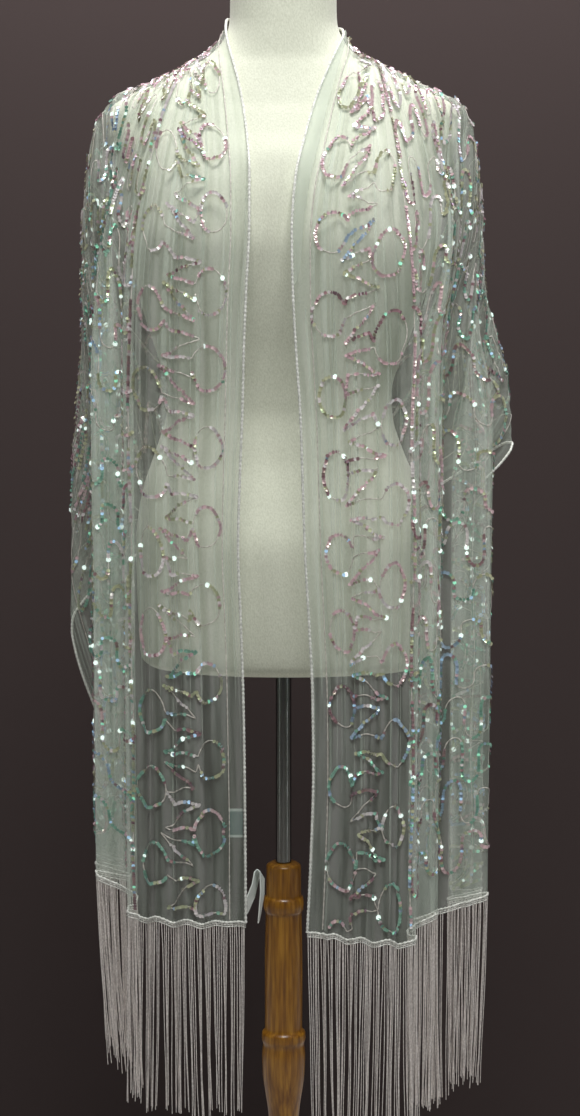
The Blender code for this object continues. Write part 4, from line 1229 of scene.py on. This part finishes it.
def make_sequins(cloth, paths, materials, draw):
    """Overlapping discs in runs along the lines, with larger single dots at some turns. The dots and some
    single discs glow as painted glints.
    """
    discs = []
    for path in paths:
        path = resample_route(path, SEQUIN_PITCH)
        place, out = cloth.read(*path.T)
        ahead = unit(np.gradient(place, axis=0))
        k = 0
        while k < len(path):
            run = draw.randint(*SEQUIN_RUN)
            kind = pick_color(place[k], draw)
            for m in range(k, min(k + run, len(path))):
                if draw.random() < SEQUINS_LOST:
                    continue
                size = SEQUIN_SIZE * draw.uniform(0.88, 1.08)
                own = kind if draw.random() < 0.6 else pick_color(place[m], draw, True)
                tilt = (0.35 + draw.uniform(-0.25, 0.25), draw.uniform(-0.35, 0.35))
                discs.append((place[m], out[m], ahead[m], size, own, tilt))
            k += run
            if k < len(path) and draw.random() < DOT_CHANCE:
                tilt = (draw.uniform(-0.3, 0.3), draw.uniform(-0.3, 0.3))
                discs.append((place[k], out[k], ahead[k], DOT_SIZE, DOT_KIND, tilt))
            k += draw.randint(*SEQUIN_PAUSE)
    centres, outs, aheads, sizes, kinds, tilts = (np.array(column) for column in zip(*discs))
    sizes = sizes[:, None]
    asides = unit(np.cross(outs, aheads))
    first = unit(aheads + outs * tilts[:, :1])
    second = unit(asides + outs * tilts[:, 1:])
    centres = centres + outs * (SEWN_LIFT + 0.5 * sizes * np.abs(tilts).sum(axis=1, keepdims=True))
    turns = (np.arange(6) * math.pi / 3)[None, :, None]
    flat = first[:, None] * np.cos(turns) + second[:, None] * np.sin(turns)
    cupped = outs[:, None] * SEQUIN_CUP * np.abs(np.sin(turns))
    rings = centres[:, None] + (flat + cupped) * sizes[:, None]
    base = np.arange(len(centres))[:, None] * 6
    quads = np.concatenate([base + np.array([[0, 1, 2, 3]]), base + np.array([[0, 3, 4, 5]])])
    return add_mesh("sequins", rings, quads, materials, "net", np.tile(kinds, 2))


# Form, stand and labels.


def closed_body(name, rings, sharp_degrees, slot, material):
    """A body through rings, from the lowest up, on a smooth curve between them and with flat ends."""
    keys = np.arange(len(rings))
    rings = smooth_columns(keys, rings, np.linspace(0, keys[-1], keys[-1] * RING_STEPS + 1))
    count, sides = rings.shape[:2]
    points = np.concatenate([rings.reshape(-1, 3), rings[[0, -1]].mean(axis=1)])
    low = count * sides
    top = low - sides
    ends = []
    for i in range(0, sides, 2):
        after = (i + 2) % sides
        ends += [(low, after, i + 1, i), (low + 1, top + i, top + i + 1, top + after)]
    piece = add_mesh(name, points, np.concatenate([tube_faces(count, sides), ends]), [material], slot)
    piece.data.set_sharp_from_angle(angle=math.radians(sharp_degrees))
    return piece


def make_jersey(material):
    """The form again, through the same rings with more sides and steps between them."""
    piece = closed_body("form_jersey", form_rings(JERSEY_SIDES), 60, "jersey", material)
    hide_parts("dress_form")
    return piece


def make_turning(name, outline, node, slot, material):
    """A turned piece with a finely stepped outline."""
    angles = np.arange(TURNED_SIDES) * 2 * math.pi / TURNED_SIDES
    circle = np.stack([np.cos(angles), np.sin(angles), np.zeros(TURNED_SIDES)], axis=1)
    rings = [circle * turn.radius + np.array([0, 0, turn.height]) for turn in reversed(outline)]
    piece = closed_body(name, np.array(rings), 50, slot, material)
    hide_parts(node)
    return piece


# Materials.


def set_inputs(tree, node, inputs):
    """Gives a node's inputs their values, or links them to sockets. A name's spaces may be written as _."""
    for name, value in inputs.items():
        socket = node.inputs[name.replace("_", " ")]
        if isinstance(value, bpy.types.NodeSocket):
            tree.links.new(value, socket)
        else:
            socket.default_value = value


def new_material(name, color, roughness, metallic=0.0, **settings):
    material = bpy.data.materials.new(name)
    material.use_nodes = True
    material.diffuse_color = (*color, 1.0)
    tree = material.node_tree
    shader = tree.nodes["Principled BSDF"]
    set_inputs(tree, shader, {"Base Color": (*color, 1.0), "Roughness": roughness, "Metallic": metallic})
    set_inputs(tree, shader, settings)
    return material, tree, shader


def add_node(tree, kind, **inputs):
    node = tree.nodes.new("ShaderNode" + kind)
    set_inputs(tree, node, inputs)
    return node


def add_noise(tree, scale, detail, stretch=(1.0, 1.0, 1.0), kind="Object"):
    """Noise in coordinates of one kind, finer along those that stretch is large for."""
    place = add_node(tree, "TexCoord").outputs[kind]
    mapping = add_node(tree, "Mapping", Vector=place, Scale=stretch)
    noise = add_node(tree, "TexNoise", Vector=mapping.outputs["Vector"], Scale=scale, Detail=detail)
    return noise.outputs["Fac"]


def add_bump(tree, shader, height, strength, distance):
    bump = add_node(tree, "Bump", Height=height, Strength=strength, Distance=distance)
    tree.links.new(bump.outputs["Normal"], shader.inputs["Normal"])


def add_ramp(tree, shader, factor, stops):
    """Colours the shader by a factor, from stops of (factor, colour)."""
    ramp = add_node(tree, "ValToRGB", Fac=factor)
    while len(ramp.color_ramp.elements) < len(stops):
        ramp.color_ramp.elements.new(0.5)
    for element, (place, color) in zip(ramp.color_ramp.elements, stops):
        element.position = place
        element.color = (*color, 1.0)
    tree.links.new(ramp.outputs["Color"], shader.inputs["Base Color"])


def net_material():
    tint = (0.82, 0.92, 0.86, 1.0)
    sheen = {"Sheen_Weight": 0.55, "Sheen_Roughness": 0.35, "Sheen_Tint": tint}
    material, tree, shader = new_material("net", (0.80, 0.84, 0.76), 0.6, Alpha=0.25, **sheen)
    # Painted shade and sheen: streaks along the cloth, darker and lighter, for the light and shade of fine
    # folds.
    fold_shade_streaks = add_noise(tree, 1.0, 3.0, (110.0, 5.0, 1.0), kind="UV")
    stops = ((0.38, (0.43, 0.51, 0.43)), (0.50, (0.74, 0.83, 0.73)), (0.64, (0.95, 1.0, 0.93)))
    add_ramp(tree, shader, fold_shade_streaks, stops)
    return material


def jersey_material():
    sheen = {"Sheen_Weight": 0.25, "Sheen_Roughness": 0.5}
    material, tree, shader = new_material("jersey", (0.80, 0.81, 0.72), 0.85, **sheen)
    weave = add_noise(tree, 700.0, 3.0, (1.0, 1.0, 0.6))
    add_ramp(tree, shader, weave, ((0.3, (0.67, 0.69, 0.56)), (0.7, (0.81, 0.83, 0.70))))
    add_bump(tree, shader, weave, 0.35, 0.0006)
    return material


def wood_material():
    coat = {"Coat_Weight": 0.15, "Coat_Roughness": 0.2}
    material, tree, shader = new_material("wood", (0.40, 0.19, 0.06), 0.34, **coat)
    grain = add_noise(tree, 60.0, 6.0, (5.0, 5.0, 0.35))
    stops = ((0.30, (0.15, 0.052, 0.003)), (0.50, (0.27, 0.112, 0.008)), (0.68, (0.42, 0.200, 0.020)))
    add_ramp(tree, shader, grain, stops)
    add_bump(tree, shader, grain, 0.25, 0.0005)
    return material


def chrome_material():
    material, tree, shader = new_material("chrome", (0.26, 0.26, 0.25), 0.10, 1.0)
    add_bump(tree, shader, add_noise(tree, 300.0, 2.0, (1.0, 1.0, 0.05)), 0.08, 0.0002)
    return material


def cord_material(name, dark, light, roughness):
    material, tree, shader = new_material(name, light, roughness, Sheen_Weight=0.3)
    twist = add_noise(tree, 420.0, 2.0)
    add_ramp(tree, shader, twist, ((0.35, dark), (0.65, light)))
    add_bump(tree, shader, twist, 0.4, 0.0004)
    return material


def label_material(name, base, stops):
    """A small woven label, its colour going by the part of its height."""
    material, tree, shader = new_material(name, base, 0.6)
    split = add_node(tree, "SeparateXYZ", Vector=add_node(tree, "TexCoord").outputs["Generated"])
    add_ramp(tree, shader, split.outputs["Z"], stops)
    add_bump(tree, shader, add_noise(tree, 900.0, 1.0), 0.3, 0.0003)
    return material


def care_label_material():
    base = (0.80, 0.80, 0.76)
    return label_material("care_label", base, ((0.0, base), (1.0, (0.72, 0.78, 0.74))))


def woven_label_material():
    """Dark, with a paler band along its upper end and another along its lower one."""
    base = (0.07, 0.13, 0.13)
    pale = (0.46, 0.53, 0.50)
    stops = ((0.0, pale), (0.07, pale), (0.10, base), (0.90, base), (0.93, pale))
    return label_material("woven_label", base, stops)


def sequin_materials():
    film = {"Specular_IOR_Level": 0.9, "Thin_Film_Thickness": 420.0, "Coat_Weight": 0.35}
    found = []
    for name, color, glow in SEQUIN_COLORS:
        material, tree, shader = new_material("sequin_" + name, color, 0.24, 0.25, **film)
        # The glow is painted light: an emission that makes the sequin glint though no lamp is there.
        if glow:
            set_inputs(tree, shader, {"Emission Color": (*color, 1.0), "Emission Strength": glow})
        found.append(material)
    return found


def dress_node(name, material):
    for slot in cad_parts[name].material_slots:
        slot.material = material


# Room.


def make_plane(name, corners, color):
    mesh = bpy.data.meshes.new(name)
    mesh.from_pydata(corners, [], [(0, 1, 2, 3)])
    obj = bpy.data.objects.new(name, mesh)
    bpy.context.scene.collection.objects.link(obj)
    material, tree, shader = new_material(name, color, 0.9)
    obj.data.materials.append(material)
    return obj


def clear_from_behind(wall):
    """Lets the views and the light from behind through the backdrop."""
    tree = wall.data.materials[0].node_tree
    side = add_node(tree, "NewGeometry")
    clear = add_node(tree, "BsdfTransparent")
    mix = add_node(tree, "MixShader", Fac=side.outputs["Backfacing"])
    tree.links.new(tree.nodes["Principled BSDF"].outputs[0], mix.inputs[1])
    tree.links.new(clear.outputs[0], mix.inputs[2])
    tree.links.new(mix.outputs[0], tree.nodes["Material Output"].inputs["Surface"])


def make_light(light):
    data = bpy.data.lights.new(light.name, "AREA")
    data.shape = "RECTANGLE"
    data.size, data.size_y = light.size
    data.energy = light.power
    data.color = light.color
    obj = bpy.data.objects.new(light.name, data)
    bpy.context.scene.collection.objects.link(obj)
    obj.location = light.place
    aim = Vector(light.target) - Vector(light.place)
    obj.rotation_euler = aim.to_track_quat("-Z", "Y").to_euler()


def make_room():
    side = ROOM_REACH
    floor = ((-side, -side, 0), (side, -side, 0), (side, side, 0), (-side, side, 0))
    make_plane("floor", floor, (0.62, 0.61, 0.59))
    corners = ((-side, -0.01), (side, -0.01), (side, ROOM_HEIGHT), (-side, ROOM_HEIGHT))
    wall = [(x, WALL_BEHIND, z) for x, z in corners]
    clear_from_behind(make_plane("backdrop", wall, (0.034, 0.022, 0.021)))
    for light in LIGHTS:
        make_light(light)
    world = bpy.data.worlds.new("room")
    bpy.context.scene.world = world
    world.use_nodes = True
    back = world.node_tree.nodes["Background"]
    back.inputs["Color"].default_value = (0.92, 0.95, 1.0, 1.0)
    back.inputs["Strength"].default_value = 0.05


def make_camera():
    data = bpy.data.cameras.new("camera")
    data.sensor_fit = "VERTICAL"
    data.sensor_height = SENSOR
    data.lens = CAMERA_LENS
    data.clip_end = 50
    obj = bpy.data.objects.new("camera", data)
    bpy.context.scene.collection.objects.link(obj)
    obj.location = CAMERA_PLACE
    obj.rotation_euler = (math.radians(90 - CAMERA_DOWN), 0, 0)
    bpy.context.scene.camera = obj


def main():
    draw = random.Random(SEED)
    make_camera()
    make_room()
    wood = wood_material()
    silk = cord_material("silk", (0.66, 0.60, 0.57), (0.96, 0.90, 0.86), 0.42)
    overcast = cord_material("overcast", (0.58, 0.59, 0.54), (0.98, 0.98, 0.93), 0.55)
    thread = cord_material("thread", (0.46, 0.42, 0.38), (0.80, 0.76, 0.70), 0.5)
    jersey = make_jersey(jersey_material())
    make_turning("turned_post", POST_OUTLINE, "stand_post", "wood", wood)
    make_turning("turned_base", BASE_OUTLINE, "stand_base", "wood", wood)
    pole = (
        Turn(POLE_RADIUS, FORM_RINGS[0].height - PIECE_GAP),
        Turn(POLE_RADIUS, (FORM_RINGS[0].height + POST_TOP) / 2),
        Turn(POLE_RADIUS, POST_TOP + PIECE_GAP),
    )
    make_turning("chrome_pole", pole, "stand_pole", "chrome", chrome_material())
    dress_node("care_label", care_label_material())
    dress_node("woven_label", woven_label_material())
    lines, points = make_sheet(form_tree())
    net = make_net(lines, points, net_material())
    edges = make_edges(points, overcast)
    hems = [points[:, 0], points[:, -1]]
    pieces = [edges]
    for side, hem in zip((-1, 1), hems):
        made = make_fringe_strands(side, hem, overcast, silk, draw)
        for piece in made:
            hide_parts("fringe_left" if side < 0 else "fringe_right")
        pieces += made
    cloth = Cloth(lines, points)
    paths = sewn_paths(draw)
    pieces.append(make_turned_border(cloth, net.data.materials[0]))
    pieces.append(make_thread(cloth, paths + border_lines(), thread))
    pieces.append(make_sequins(cloth, paths, sequin_materials(), draw))
    pieces.append(make_crinkles(cloth, net.data.materials[0], draw))
    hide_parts("stole_left", "stole_back", "stole_right")


bpy.context.scene.cycles.transparent_max_bounces = 48
bpy.context.scene.view_settings.view_transform = "Standard"
main()
